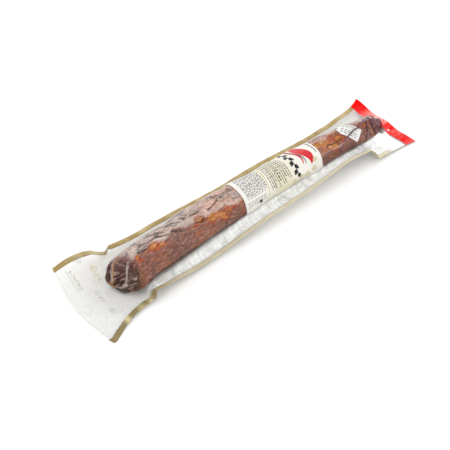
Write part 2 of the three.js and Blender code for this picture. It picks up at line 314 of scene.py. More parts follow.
CASING_BROWN = colour(0.44, 0.135, 0.052)
CASING_RUST = colour(0.33, 0.045, 0.012)
CASING_ORANGE = colour(0.43, 0.150, 0.030)
CASING_PURPLE = colour(0.17, 0.075, 0.062)
CASING_PINK = colour(0.60, 0.31, 0.21)
PEACH_GLINT = colour(0.72, 0.42, 0.22)
CASING_AMBER = colour(0.40, 0.17, 0.030)
CREST_HIGHLIGHT_CREAM = colour(0.52, 0.37, 0.30)
CASING_DARK = colour(0.032, 0.010, 0.005)
CAP_PURPLE = colour(0.135, 0.045, 0.042)
DUST_AND_GLARE_GREY = colour(0.62, 0.55, 0.49)
DUST_AND_GLARE_PINK = colour(0.76, 0.40, 0.26)
ORANGE_PATCHES = [  # x, angle, length and width in mm: thin places of the casing, where fat shines through
    (70, 17, 10, 7), (82, 27, 9, 5), (36, 16, 5, 5), (156, 26, 8, 8), (181, 40, 13, 9), (200, 48, 14, 10),
    (411, 10, 9, 6), (430, 9, 16, 9), (437, 40, 10, 7), (457, 27, 9, 7), (523, 14, 9, 6), (118, 130, 30, 14),
    (60, -70, 22, 10), (300, -130, 40, 15), (470, -60, 26, 12), (520, 120, 18, 10),
]
SHADED_CREASES = [  # x and degrees round the loin at each bend of a crease painted dark as shade
    ((34, -50), (50, -35), (69, -24), (82, -14), (97, -3)),
    ((52, -12), (66, -3), (80, 0), (92, 8), (103, 15)),
    ((106, -13), (116, -10), (126, -3)), ((84, -40), (104, -30), (128, -22)),
    ((108, 10), (117, 22), (122, 24)), ((178, 16), (186, 13), (196, 7), (204, 0)),
    ((136, -8), (152, -2), (164, 4)), ((41, 6), (50, 12), (58, 10)), ((200, -20), (216, -12), (232, -10)),
    ((150, 28), (158, 34), (164, 30)), ((426, 28), (440, 34), (460, 30)),
    ((414, -20), (430, -26), (448, -22)), ((509, 34), (506, 68), (507, 104)),
    ((522, 30), (519, 60), (522, 96)), ((533, 10), (530, 44), (533, 88)),
]
CREASE_SCALE = 0.5  # mm round the loin for each degree
PALE_TOP_BORDER = [  # x and angle: the scalloped line down to which the top of the loin is painted pale
    (39, 12), (62, 6), (76, 13), (89, 24), (102, 17), (114, 12), (133, 25), (152, 23), (166, 26), (180, 31),
    (205, 34), (226, 41), (408, -6), (432, -2), (455, -12), (500, -4), (530, 6),
]
PALE_TOP_BACK = np.radians([-95, -70])  # over the back flank the pale top fades out between these
DUSKY_PATCHES = [
    (112, 55, 34, 15), (165, 62, 30, 12), (392, 40, 20, 10), (210, 84, 40, 9), (452, 78, 34, 14),
    (508, 70, 24, 26), (350, 150, 70, 20), (150, -100, 60, 14), (60, 100, 18, 8),
]


def through(points, column):
    """A smooth line through points, a column against their first one, level beyond its ends."""
    places = np.array([point[0] for point in points], float)
    values = np.array([point[column] for point in points], float)
    after = np.minimum(np.arange(len(points)) + 1, len(points) - 1)
    before = np.maximum(np.arange(len(points)) - 1, 0)
    slopes = (values[after] - values[before]) / (places[after] - places[before])

    def read(place):
        at = np.clip(place, places[0], places[-1])
        i = np.clip(np.searchsorted(places, at, side="right") - 1, 0, len(places) - 2)
        width = places[i + 1] - places[i]
        t = (at - places[i]) / width
        rise = (1 + 2 * t) * (1 - t) ** 2 * values[i] + t * t * (3 - 2 * t) * values[i + 1]
        lean = t * (1 - t) ** 2 * slopes[i] - t * t * (1 - t) * slopes[i + 1]
        return rise + lean * width

    return read


def patches(listed, x, angle):
    """How far each point lies in any of the listed patches, from 0 to 1."""
    total = np.zeros(np.broadcast(x, angle).shape)
    for place, degrees, length, width in listed:
        turn = (angle - math.radians(degrees) + np.pi) % (2 * np.pi) - np.pi
        total = np.maximum(total, hump(x, place, length) * hump(turn * radius_at(x), 0, width))
    return total


def away_from(a, b, u, v):
    """Distance of flat places (u, v) from the line between two ends."""
    a, b = np.array(a, float), np.array(b, float)
    share = unit(((u - a[0]) * (b - a)[0] + (v - a[1]) * (b - a)[1]) / ((b - a) @ (b - a)))
    return np.hypot(u - a[0] - share * (b - a)[0], v - a[1] - share * (b - a)[1])


def near_lines(lines, u, v, width):
    total = np.zeros(np.broadcast(u, v).shape)
    for line in lines:
        for a, b in zip(line, line[1:]):
            total = np.maximum(total, hump(away_from(a, b, u, v), 0, width))
    return total


def near_creases(x, degrees, width):
    lines = [[(at, turned * CREASE_SCALE) for at, turned in crease_shade] for crease_shade in SHADED_CREASES]
    return near_lines(lines, x, degrees * CREASE_SCALE, width)


def near_half(tree, noise, width):
    """1 where a noise crosses its middle, falling to 0 within `width`: a net of narrow lines."""
    off = reckon(tree, "ABSOLUTE", reckon(tree, "SUBTRACT", noise, 0.5))
    return levels(tree, off, 0, width, 1, 0)


def glare_and_dry_share(points, x, angle):
    """Painted glare and dry dusty casing: the pale top of the loin, down to its scalloped border."""
    ragged = 0.08 * mottle(flat_points(x, 0 * x), 9) + 0.07 * mottle(points, 4.5)
    border = np.radians(through(PALE_TOP_BORDER, 1)(x)) + ragged
    return fall(angle, border - 0.07, border + 0.05) * ease(angle, *PALE_TOP_BACK)


def shrunk_lines(points):
    """Narrow creases where the drying casing has shrunk, broken off here and there."""
    lines = np.maximum(crinkle(points + 70, (14, 3.4, 3.4), 4.6), crinkle(points + 91, (8, 2.6, 2.6), 4.8))
    return lines * ease(mottle(points + 33, 12), -0.4, 0.15)


def loin_finish():
    material, tree = start_finish("cured_casing", Specular_IOR_Level=0.08, Subsurface_Weight=0.06,
                                  Subsurface_Radius=(0.004, 0.0012, 0.0006))
    blotches = unevenness(tree, (0.5, 1, 1), 60)
    mottles = unevenness(tree, (0.6, 1, 1), 210, 5, 0.7)
    grain = unevenness(tree, (0.35, 1.3, 1.3), 420, 5, 0.7)
    ragged = unevenness(tree, (0.55, 1.2, 1.2), 130, 6, 0.65)
    specks = unevenness(tree, (0.5, 1, 1), 330, 4, 0.7)
    veins = near_half(tree, unevenness(tree, (0.45, 1, 1), 110, 5, 0.6), 0.022)
    fatty = reckon(tree, "ADD", field(tree, "orange"), levels(tree, ragged, 0.3, 0.7, -0.45, 0.45))
    # The pale top of the loin: painted glare of the light from behind, laid on as dry dusty casing.
    dust_and_glare_tone = layered(tree, DUST_AND_GLARE_GREY, (field(tree, "rosy"), DUST_AND_GLARE_PINK),
                        (levels(tree, blotches, 0.44, 0.62, 0, 0.7), DUST_AND_GLARE_PINK))
    dust_and_glare_patches = levels(tree, mottles, 0.34, 0.60, 1.15, 0.45)
    puckered = blended(tree, levels(tree, specks, 0.36, 0.54), CASING_DARK, CAP_PURPLE)
    tone = layered(
        tree, CASING_BROWN,
        (levels(tree, blotches, 0.38, 0.62), CASING_PURPLE),
        (levels(tree, mottles, 0.47, 0.60, 0, 0.8), CASING_PURPLE),
        (field(tree, "dusky"), CASING_PURPLE),
        (levels(tree, specks, 0.52, 0.68, 0, 0.75), CASING_PINK),
        (times(tree, field(tree, "dust_and_glare"), dust_and_glare_patches), dust_and_glare_tone),
        (levels(tree, fatty, 0.26, 0.42, 0, 0.9), CASING_RUST),
        (levels(tree, fatty, 0.48, 0.72), CASING_ORANGE),
        # painted glints: pale peach specks inside the orange patches
        (times(tree, levels(tree, specks, 0.54, 0.60), levels(tree, fatty, 0.5, 0.8)), PEACH_GLINT),
        (times(tree, veins, levels(tree, fatty, 0.1, 0.6, 0.68, 0.25)), CASING_DARK),
        (field(tree, "cap"), puckered),
        # painted shade in creases and grooves, and along the loin's underside
        (field(tree, "crease_shade"), CASING_DARK),
        (field(tree, "amber"), CASING_AMBER),
        # painted highlights on the end face's ridges and crests
        (field(tree, "crest_highlight"), CREST_HIGHLIGHT_CREAM))
    shade = levels(tree, grain, 0.3, 0.72, 0.55, 1.4)
    worn = put(tree, "Mix", {0: 1.0, 6: tone, 7: shade}, data_type="RGBA", blend_type="MULTIPLY")
    return finished(material, worn.outputs[2], grain, 0.5, 0.0005,
                    Roughness=levels(tree, grain, 0.3, 0.7, 0.34, 0.56))


def cap_edge(angle):
    """Where the dark puckered cap ends, along the axis."""
    return 24.5 - 5 * hump(angle, 0, 0.5) - 8 * span(angle, 0.2, 0.7, 2.2, 2.8)


def casing_creases(x, angle, share):
    """The casing's fine relief: shrunk creases along the loin, a gathered cap and a gathered neck."""
    points = on_loin(x, angle, 0.0, share)
    along = -0.35 * crinkle(points, (26, 6, 6)) - 0.2 * crinkle(points + 60, (9, 4, 4))
    cap = fall(x, 22, 27)
    gathers = -0.9 * crinkle(points + 30, (7, 5, 9), 2.2) * cap
    groove = -1.5 * hump(x, cap_edge(angle), 1.5) * span(angle, 0.4, 0.8, 2.0, 2.3)
    folded = span(x, 522, 548, NECK_X, NECK_X + 1)
    neck = -0.7 * folded * (0.5 + 0.5 * np.cos(15 * angle + 1)) ** 2
    return along * (1 - 0.6 * cap) + gathers + groove + neck


LOIN_AROUND = 176
LOIN_STEP = 1.3
TUFT_PLACES = (558.2, 559, 559.8, 560.4, 560.8, LOIN_END)
TUFT_SHARES = (1.08, 1.16, 1.2, 1.14, 0.98, 0.75)
places, shares = loin_places(34, LOIN_STEP, TIE_X + 2)
places = np.concatenate([places, TUFT_PLACES])[:, None]
shares = np.concatenate([shares, TUFT_SHARES])[:, None]
angles = np.linspace(0, 2 * np.pi, LOIN_AROUND, endpoint=False)[None, :]
wrapped = (angles + np.pi) % (2 * np.pi) - np.pi
creases = casing_creases(places, wrapped, shares)
creases = creases - 0.8 * near_creases(places, np.degrees(wrapped), 1.5)
tuft_folds = 0.16 * np.cos(6 * angles) * ease(places, TIE_X + 1, 560)
skin = on_loin(places, angles, creases, shares + tuft_folds)
face_middle = skin[0].mean(0)
end_middle = skin[-1].mean(0)
loin_points = np.concatenate([skin.reshape(-1, 3), [face_middle, end_middle]])
face_hub = len(places) * LOIN_AROUND
ring = np.arange(LOIN_AROUND)
loin_faces = grid_faces(len(places), LOIN_AROUND, around=True)
last_ring = ring + (len(places) - 1) * LOIN_AROUND
loin_faces += [(face_hub, int(b), int(a)) for a, b in zip(ring, np.roll(ring, -1))]
loin_faces += [(face_hub + 1, int(a), int(b)) for a, b in zip(last_ring, np.roll(last_ring, -1))]

rim_x = cap_edge(wrapped)
cap_field = fall(places, rim_x - 1.5, rim_x + 0.5) * np.ones_like(angles)
cap_field = np.maximum(cap_field, 0.85 * ease(places, BODY_END, TIE_X + 0.5))
AMBER = [  # across and up the end face, half width: thin places that shine amber through the casing
    ((15.6, 21), (8.6, -10), 1.2), ((13, -13), (9, -19), 2.6), ((-18, -15), (-16, -22), 1.8)]
LIT_RIDGES = [  # the same: ridges painted pale as highlights
    ((-5.5, 20), (-8.5, 4), 0.9), ((-8.0, 3), (-7.5, -13), 1.3), ((-4, -14), (6, -17), 1.1),
    ((17.4, 21), (11, -8), 0.7)]
cap_across = skin[..., 1] - axis_y(places)
cap_up = skin[..., 2] - axis_z(places)


def on_face_lines(listed):
    """How near each point of the skin is to any of the listed lines on the end face, from 0 to 1."""
    return np.maximum.reduce(
        [hump(away_from(a, b, cap_across, cap_up), 0, width) for a, b, width in listed])


facing_out = fall(places, 27, 31)
amber = unit(1.4 * on_face_lines(AMBER) * (0.7 + 0.8 * mottle(skin, 4))) * facing_out
beside_rim = hump(places, rim_x + 5.0, 2.2) * span(wrapped, 0.8, 1.2, 2.0, 2.3)
amber = np.maximum(amber, beside_rim * unit(0.7 + 0.7 * mottle(skin + 5, 5)))
slanting = flat_points(cap_across + cap_up, cap_up - cap_across) / math.sqrt(2)
ribbing = mottle(slanting, (1.7, 9, 50))
# Painted highlights on the end face: its ridges, wrinkle crests, a net of creases, its foot and its top.
fine_wrinkles = ease(ribbing, 0.24, 0.46) * span(cap_up, -16, -12, 6, 16)
pale_net = crinkle(skin + 12, (3.8, 2.8, 5), 3.4) * fall(cap_across, -12, -9) * span(cap_up, -15, -11, 10, 17)
foot = hump(cap_up, -24.5, 1.2) * fall(np.abs(cap_across + 4), 9, 13)
crown = 0.8 * crinkle(skin + 77, (4, 5, 5), 2.2) * ease(cap_up, 16, 21)
crest_highlight_field = np.maximum.reduce([on_face_lines(LIT_RIDGES) * 0.8, fine_wrinkles * 0.8, pale_net * 0.45,
                                foot * 0.5, crown * 0.7])
crest_highlight_field = crest_highlight_field * unit(0.8 + 0.7 * mottle(skin + 7, 3)) * cap_field * facing_out
crest_highlight_field = crest_highlight_field * (1 - amber) * (1 - 0.8 * ease(cap_across, 12, 15))
orange_field = unit(patches(ORANGE_PATCHES, places, wrapped) * (1.05 + 0.8 * mottle(skin, (9, 5, 5))))
# Painted shade: the casing is darkened along its listed creases.
crease_shade_field = near_creases(places, np.degrees(wrapped), 1.2)
crease_shade_field = unit(1.3 * crease_shade_field * unit(0.9 + 0.9 * mottle(skin + 20, 6)))
whole_places = places + 0 * wrapped
# The pale top zone: painted glare of the light from behind, and dry casing.
glare_and_dry = glare_and_dry_share(skin, whole_places, wrapped + 0 * places) * ease(places, 20, 27)
# Painted shade in the shrunk creases over the pale top.
crease_shade_on_top = unit((1.1 + 0.7 * fall(places, 90, 140)) * shrunk_lines(skin)) * glare_and_dry
# Painted shade in the groove round the edge of the cap.
rim = hump(places, rim_x + 1.2, 1.7) * span(wrapped, 0.45, 0.75, 2.2, 2.5)
# Painted shade over the lower and right part of the end face, and between its ribs.
low_cap_shade = np.maximum(fall(cap_up, -4, 9), fall(cap_across, -12, -8)) * unit(0.95 - 0.6 * ribbing)
cap_shade = np.maximum(low_cap_shade, ease(-ribbing, 0.05, 0.3) * fall(cap_up, 10, 18)) * cap_field * facing_out
# Painted shade along the lower front of the loin, where it turns under towards the table.
underside_shade = 0.8 * span(wrapped, 1.5, 1.8, 2.4, 2.8) * ease(places, 28, 45)
crease_shade_field = np.maximum.reduce([crease_shade_field, underside_shade, crease_shade_on_top, rim, unit(0.85 * cap_shade)])
dust_and_glare_field = glare_and_dry * (0.75 + 0.35 * mottle(skin + 15, (30, 9, 9)))
rosy_field = unit(span(places, 120, 215, 480, 530) + 0.5 * mottle(skin + 64, (40, 12, 12)))
dusky_field = patches(DUSKY_PATCHES, places, wrapped) * unit(0.8 + 0.6 * mottle(skin + 40, (12, 7, 7)))
dusky_field = np.maximum(dusky_field, 0.8 * ease(places, 490, 530) * (0.6 + 0.4 * mottle(skin, 9)))


def with_hubs(values):
    return np.concatenate([np.broadcast_to(values, skin.shape[:2]).ravel(), [values[0, 0], values[-1, 0]]])


loin_fields = {"cap": cap_field, "orange": orange_field, "dusky": dusky_field, "crease_shade": crease_shade_field,
               "amber": amber, "crest_highlight": crest_highlight_field, "dust_and_glare": dust_and_glare_field, "rosy": rosy_field}
loin = mesh_piece("loin_casing", loin_points, loin_faces, loin_finish(), "cured_meat",
                  **{name: with_hubs(values) for name, values in loin_fields.items()})
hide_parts("loin")


# ---- The neck tie ----------------------------------------------------------------------------------
# Two turns of dark twine, tied by hand round the gathered casing, that draw it shut at the neck. The twine
# is three strands of dyed fibre twisted together.

TWINE_RADIUS = 1.2
TWIST = 9  # mm of twine for each full twist of its strands
STRAND_OUT = 0.46  # of the twine's radius, from its middle to a strand's middle
STRAND_RADIUS = 0.54  # of the twine's radius
STRAND_SIDES = 8
TIE_TURNS = 2.1
TIE_RADIUS = NECK_RADIUS + 1.6
TIE_SPREAD = 2
TWINE_DARK = colour(0.085, 0.020, 0.038)
TWINE_WORN = colour(0.40, 0.19, 0.25)


def carried(path):
    """Two directions square to a path at each point, carried along it without twisting."""
    ahead = np.gradient(path, axis=0)
    ahead /= np.linalg.norm(ahead, axis=1, keepdims=True)
    side = np.cross(ahead[0], [0.31, 0.52, 0.79])
    sides = []
    for direction in ahead:
        side = side - direction * (side @ direction)
        side = side / np.linalg.norm(side)
        sides.append(side)
    sides = np.array(sides)
    return sides, np.cross(ahead, sides)


def shifted(faces, first):
    return [[first + corner for corner in face] for face in faces]


def rope(name, path, radius, finish, slot):
    """Three strands twisted together along a path, each a closed tube."""
    step = np.linalg.norm(np.diff(path, axis=0), axis=1)
    travelled = np.concatenate([[0], np.cumsum(step)])
    side, across = carried(path)
    ring = list(range(STRAND_SIDES))
    points, faces = [], []
    for strand in range(3):
        turn = 2 * np.pi * (travelled / TWIST + strand / 3)
        offset = radius * STRAND_OUT * (np.cos(turn)[:, None] * side + np.sin(turn)[:, None] * across)
        round_it = np.linspace(0, 2 * np.pi, STRAND_SIDES, endpoint=False)[None, :, None]
        tube = np.cos(round_it) * side[:, None] + np.sin(round_it) * across[:, None]
        rings = (path + offset)[:, None] + radius * STRAND_RADIUS * tube
        first = len(points) * rings.shape[0] * STRAND_SIDES
        faces += shifted(grid_faces(len(path), STRAND_SIDES, True) + [ring[::-1]], first)
        faces += shifted([ring], first + (len(path) - 1) * STRAND_SIDES)
        points.append(rings.reshape(-1, 3))
    return mesh_piece(name, np.concatenate(points), faces, finish, slot)


def twine_finish():
    material, tree = start_finish("dark_twine", Roughness=0.7, Specular_IOR_Level=0.15)
    fibres = unevenness(tree, (1, 1, 1), 1600, 3)
    fade = unevenness(tree, (1, 1, 1), 90, 2)
    worn = levels(tree, reckon(tree, "MULTIPLY", fibres, fade), 0.16, 0.42)
    return finished(material, blended(tree, worn, TWINE_DARK, TWINE_WORN), fibres, 0.6, 0.0002)


twine_look = twine_finish()
turned = np.linspace(0, 2 * np.pi * TIE_TURNS, 130)
tie_path = np.stack([
    TIE_X + TIE_SPREAD * (turned / turned[-1] - 0.5),
    axis_y(TIE_X) + TIE_RADIUS * np.cos(turned),
    NECK_Z + TIE_RADIUS * np.sin(turned),
], axis=-1)
neck_tie = rope("neck_tie_turns", tie_path, TWINE_RADIUS, twine_look, "twine")
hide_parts("neck_tie")


# ---- The label -------------------------------------------------------------------------------------
# A sheet of coated cream paper wrapped round the loin inside the pouch, held by the film alone. It is
# printed with plain ornaments: a red crescent, black leaves, pale gold lozenges, rows of grey dashes and a
# ruled block.

LABEL_X = (240, 406)
LABEL_ANGLES = (128, -115)
PAPER = 0.6
PAPER_LIFT = 0.6
PAPER_TOP = PAPER_LIFT + PAPER
INK = 0.1
LABEL_RADIUS = 27
CREAM = colour(0.84, 0.825, 0.780)
BORDER_YELLOW = colour(0.69, 0.64, 0.42)


def slab_faces(rows, columns):
    """Faces of a thin closed solid between two grids, the lower one first."""
    count = rows * columns
    sheet = grid_faces(rows, columns)
    upper = shifted(sheet, count)
    lower = [face[::-1] for face in sheet]
    rim = [(0, j) for j in range(columns)] + [(i, columns - 1) for i in range(1, rows)]
    rim += [(rows - 1, j) for j in range(columns - 2, -1, -1)] + [(i, 0) for i in range(rows - 2, 0, -1)]
    edge = [i * columns + j for i, j in rim]
    walls = [[a, b, count + b, count + a] for a, b in zip(edge, edge[1:] + edge[:1])]
    return upper + lower + walls


def slab(name, lower, upper, finish, slot, **fields):
    points = np.concatenate([lower.reshape(-1, 3), upper.reshape(-1, 3)])
    twice = {key: np.concatenate([values.ravel(), values.ravel()]) for key, values in fields.items()}
    faces = slab_faces(*lower.shape[:2])
    upwards = np.cross(lower[0, 1] - lower[0, 0], lower[1, 0] - lower[0, 0]) @ (upper[0, 0] - lower[0, 0])
    if upwards < 0:
        faces = [face[::-1] for face in faces]
    return mesh_piece(name, points, faces, finish, slot, **twice)


def paper_finish(name, tint, **sockets):
    material, tree = start_finish(name, **sockets)
    fibre = unevenness(tree, (1, 1, 1), 900, 3)
    cloud = unevenness(tree, (1, 1, 1), 35, 2)
    dulled = tuple(channel * 0.93 for channel in tint[:3]) + (1,)
    tone = blended(tree, levels(tree, cloud, 0.35, 0.65), tint, dulled)
    if name == "label_paper":
        tone = blended(tree, field(tree, "border"), tone, BORDER_YELLOW)
    return finished(material, tone, fibre, 0.25, 0.0001)


def ink_finish(name, tint, thin):
    """Printing ink, uneven where it is laid on thin."""
    material, tree = start_finish(name, Roughness=0.4, Specular_IOR_Level=0.1)
    worn = unevenness(tree, (1, 1, 1), 420, 4)
    faded = tuple(mixed(np.array(tint[:3]), np.array(CREAM[:3]), thin)) + (1,)
    return finished(material, blended(tree, levels(tree, worn, 0.42, 0.75), tint, faded))


label_places = np.linspace(*LABEL_X, 110)[:, None]
label_turn = np.radians(np.linspace(*LABEL_ANGLES, 150))[None, :]
from_edge = np.minimum(label_turn - label_turn.min(), label_turn.max() - label_turn) * LABEL_RADIUS
border = np.maximum(fall(from_edge, 7, 8) + 0 * label_places, 0.75 * hump(label_places, 322, 26))
label = slab("label_sheet", on_loin(label_places, label_turn, PAPER_LIFT + 0 * label_places),
             on_loin(label_places, label_turn, PAPER_TOP + 0 * label_places),
             paper_finish("label_paper", CREAM, Roughness=0.38, Specular_IOR_Level=0.2),
             "label_paper", border=border)
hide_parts("label")


def ribbon(path, half_width):
    """A printed stroke: rows of points across a path. Path and rows are in mm on the flat sheet."""
    path = np.asarray(path, float)
    half = np.broadcast_to(half_width, len(path))[:, None, None]
    ahead = np.gradient(path, axis=0)
    ahead /= np.linalg.norm(ahead, axis=1, keepdims=True)
    across = np.stack([-ahead[:, 1], ahead[:, 0]], axis=-1)[:, None, :]
    columns = 2 + int(half.max() / 1.5)
    return path[:, None, :] + across * half * np.linspace(-1, 1, columns)[None, :, None]


def line(start, end, half_width, step=2.5):
    count = 2 + int(math.dist(start, end) / step)
    return ribbon(np.linspace(start, end, count), half_width)


def drop(start, end, half_width):
    """A tapering stroke, thickest near its start."""
    along = np.linspace(0, 1, 9)
    return ribbon(np.linspace(start, end, 9), half_width * np.sin(np.pi * along**0.7) + 0.02)


def lozenge(middle, size, half_width):
    """The outline of a small square set on its corner."""
    corners = np.array([(1, 0), (0, 1), (-1, 0), (0, -1), (1, 0)]) * size + middle
    return [line(a, b, half_width) for a, b in zip(corners, corners[1:])]


def dashes(start, end, half_width, random, gap=1.3):
    """A row of short strokes with even gaps and uneven lengths."""
    length = math.dist(start, end)
    ahead = (np.array(end) - start) / length
    strokes, at = [], 0.0
    while at < length - 1:
        stroke = min(random.uniform(1.5, 5.5), length - at)
        strokes.append(line(start + ahead * at, start + ahead * (at + stroke), half_width))
        at += stroke + gap
    return strokes


def printed(name, strokes, lay, finish, slot):
    """Strokes on a sheet as one thin mesh; `lay` takes flat places to points on the sheet."""
    points, faces, count = [], [], 0
    for stroke in strokes:
        rows, columns = stroke.shape[:2]
        faces += shifted(grid_faces(rows, columns), count)
        points.append(lay(stroke[..., 0], stroke[..., 1]).reshape(-1, 3))
        count += rows * columns
    return mesh_piece(name, np.concatenate(points), faces, finish, slot)


def on_label(x, arc):
    """A place on the label: x along the loin, and mm round it from the top towards the front."""
    return on_loin(x, arc / LABEL_RADIUS, PAPER_TOP + INK + 0 * x)


crescent_arc = np.linspace(-32, 28, 34)
crescent_x = 381 + 5.5 * np.sin(crescent_arc / 11)
crescent_half = 8.5 * np.sin(np.pi * np.linspace(0, 1, 34)) ** 0.8 + 0.05
echo_x = 366 + 4.5 * np.sin(crescent_arc / 11 + 0.4)
red_strokes = [ribbon(np.stack([crescent_x, crescent_arc], -1), crescent_half),
               ribbon(np.stack([echo_x, crescent_arc], -1)[4:-4], crescent_half[4:-4] * 0.22)]
outline = np.stack([crescent_x - 11.5, crescent_arc], -1)
black_strokes = [ribbon(outline[2:-3], crescent_half[2:-3] * 0.13 + 0.1)]
for number, arc in enumerate(np.arange(-22, 31, 7.5)):
    lean = 6 if number % 2 else -6
    black_strokes.append(drop((352, arc), (352 + lean, arc + 8), 3.5))
black_strokes.append(line((352, -26), (353, 33), 0.8))
black_strokes.append(line((401.5, -24), (401.5, 14), 0.8))
black_strokes.append(drop((268, 36), (274, 42), 3.2))
gold_strokes = []
for x, arc, size in [(343, 42, 6), (358, 40, 5), (372, 42, 6), (387, 37, 5), (392, 23, 4)]:
    gold_strokes += lozenge((x, arc), size, 0.6) + lozenge((x, arc), size * 0.45, 0.45)
rule_arc = np.linspace(-24, 40, 30)
gold_strokes.append(ribbon(np.stack([290 + 3 * np.cos(rule_arc / 20), rule_arc], -1), 0.7))
grey_strokes = []
seeded = np.random.default_rng(5)
for x in np.arange(298, 339, 4.0):
    bold = 1.25 if int(x) % 3 == 0 else 0.85
    grey_strokes += dashes((x, seeded.uniform(-26, -14)), (x, seeded.uniform(20, 36)), bold, seeded)
for x in np.arange(248, 285, 7.2):
    grey_strokes.append(line((x, -26), (x, 26), 0.35))
    for row in (x + 2.4, x + 4.8):
        grey_strokes += dashes((row, -24), (row, 24), 0.75, seeded, 2.0)
for arc in (-26, -9, 8, 26):
    grey_strokes.append(line((248, arc), (284, arc), 0.22))
for x in np.arange(246, 282, 3.2):
    grey_strokes += dashes((x, 30), (x, 40), 0.45, seeded)

for ink, strokes, tint, thin in (
        ("red", red_strokes, colour(0.60, 0.003, 0.012), 0.10),
        ("black", black_strokes, colour(0.012, 0.012, 0.014), 0.05),
        ("gold", gold_strokes, colour(0.55, 0.43, 0.15), 0.3),
        ("grey", grey_strokes, colour(0.05, 0.052, 0.065), 0.3)):
    printed(f"label_{ink}", strokes, on_label, ink_finish(f"{ink}_ink", tint, thin), "label_paper")


# ---- The tag ---------------------------------------------------------------------------------------
# A small tag of matt white paper with two cut corners, lying askew on the top of the loin, under the twine
# and the film. It carries only short dark strokes.

TAG_X = 481
TAG_ARC = 6
TAG_LENGTH = 41
TAG_WIDTH = 26
TAG_TURN = math.radians(50)
TAG_CORNER = 9
TAG_WHITE = colour(0.80, 0.80, 0.785)


def on_tag(along, across, lift):
    x = TAG_X + along * math.cos(TAG_TURN) + across * math.sin(TAG_TURN)
    arc = TAG_ARC + along * math.sin(TAG_TURN) - across * math.cos(TAG_TURN)
    return on_loin(x, arc / radius_at(x), lift + 0 * x)


tag_along = np.linspace(-TAG_LENGTH / 2, TAG_LENGTH / 2, 44)[:, None]
tag_half = TAG_WIDTH / 2 - 0.8 * np.maximum(TAG_CORNER - TAG_LENGTH / 2 - tag_along, 0)
tag_across = np.linspace(-1, 1, 28)[None, :] * tag_half
tag = slab("tag_card", on_tag(tag_along + 0 * tag_across, tag_across, PAPER_LIFT),
           on_tag(tag_along + 0 * tag_across, tag_across, PAPER_TOP),
           paper_finish("tag_card", TAG_WHITE, Roughness=0.6, Specular_IOR_Level=0.2), "tag_paper")
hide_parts("tag")

tag_strokes = []
for across in (-8, -4.6, -1.2, 5.5):
    tag_strokes += dashes((-13, across), (15, across), 0.6, seeded, 2.0)
tag_strokes.append(line((-9, 9.3), (10, 9.3), 0.6))
tag_strokes.append(line((-18.8, -3.4), (-18.8, 2.4), 0.8))
printed("tag_strokes", tag_strokes, lambda along, across: on_tag(along, across, PAPER_TOP + INK),
        ink_finish("tag_ink", colour(0.05, 0.045, 0.05), 0.2), "tag_paper")


# ---- The twine -------------------------------------------------------------------------------------
# One free length of the same dark twine. It comes from the knot at the shoulder, holds the tag down and
# runs on down the front flank, pressed there by the film.

GAP = 0.35
KNOT_RADIUS = TWINE_RADIUS * 0.85
TWINE_ROUTE = [  # x, angle, lift over the tag
    (508, 82, 0), (513, 60, 0), (517, 36, 0), (521, 14, 0.4), (517, 2, 0.8), (510, 12, 1.1), (500, 22, 1.6),
    (490, 24, 1.6), (479, 30, 1.6), (468, 38, 1.6), (459, 46, 1.3), (452, 56, 0.3), (448, 68, 0),
    (448, 80, 0),
]

numbered = [(number, *stop) for number, stop in enumerate(TWINE_ROUTE)]
along_route = np.linspace(0, len(TWINE_ROUTE) - 1, 230)
twine_x = through(numbered, 1)(along_route)
twine_turn = np.radians(through(numbered, 2)(along_route))
twine_lift = through(numbered, 3)(along_route)
twine_path = on_loin(twine_x, twine_turn, GAP + TWINE_RADIUS + twine_lift)
twine = rope("twine_length", twine_path, TWINE_RADIUS, twine_look, "twine")
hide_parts("twine")

KNOT_LOOPS = [  # the loops of its loose knot: x and arc of the middle, half length, half width, lean, lift
    (530, 3, 11, 4.0, 0.5, 0.0), (537, 2, 5, 8.5, 0.2, 1.6), (541, 16, 9, 3.2, -0.9, 0.0),
]
knot_x, knot_arc, knot_top = [], [], []
for number, (middle_x, middle_arc, long, wide, lean, over) in enumerate(KNOT_LOOPS):
    turned = np.linspace(0, 2 * np.pi * 1.02, 60)
    u, v = long * np.cos(turned), wide * np.sin(turned)
    loop_x = middle_x + u * math.cos(lean) - v * math.sin(lean)
    loop_arc = middle_arc + u * math.sin(lean) + v * math.cos(lean)
    loop_lift = GAP + TWINE_RADIUS + over + 0.8 * np.sin(turned / 2)
    loop_path = on_loin(loop_x, loop_arc / radius_at(middle_x), loop_lift)
    rope(f"knot_loop_{number + 1}", loop_path, KNOT_RADIUS, twine_look, "twine")
    knot_x += list(loop_x[::4])
    knot_arc += list(loop_arc[::4])
    knot_top += list(loop_lift[::4] + TWINE_RADIUS + 0.4)


# ---- The loose casing ends -------------------------------------------------------------------------
# Beyond the tie the casing's gathered ends are left long. Dried dark and crumpled, they lie spread across
# the pouch under its front film.

ENDS_X = 557.0
ENDS_Y = (-25, 30)


def ends_height(y):
    """Height of the middle of the crumpled ends: they rise to the neck."""
    return 4.6 + 8 * hump(y, BOW_Y + 3, 9)


def ends_finish():
    material, tree = start_finish("dried_casing_ends", Roughness=0.5, Specular_IOR_Level=0.25)
    specks = unevenness(tree, (1, 1, 1), 260, 4, 0.7)
    flecks = unevenness(tree, (1, 1, 1), 420, 3, 0.6)
    tone = layered(tree, CASING_DARK, (levels(tree, specks, 0.42, 0.62), CAP_PURPLE),
                   (levels(tree, flecks, 0.56, 0.66, 0, 0.8), CASING_AMBER))
    return finished(material, tone, specks, 0.6, 0.0004)


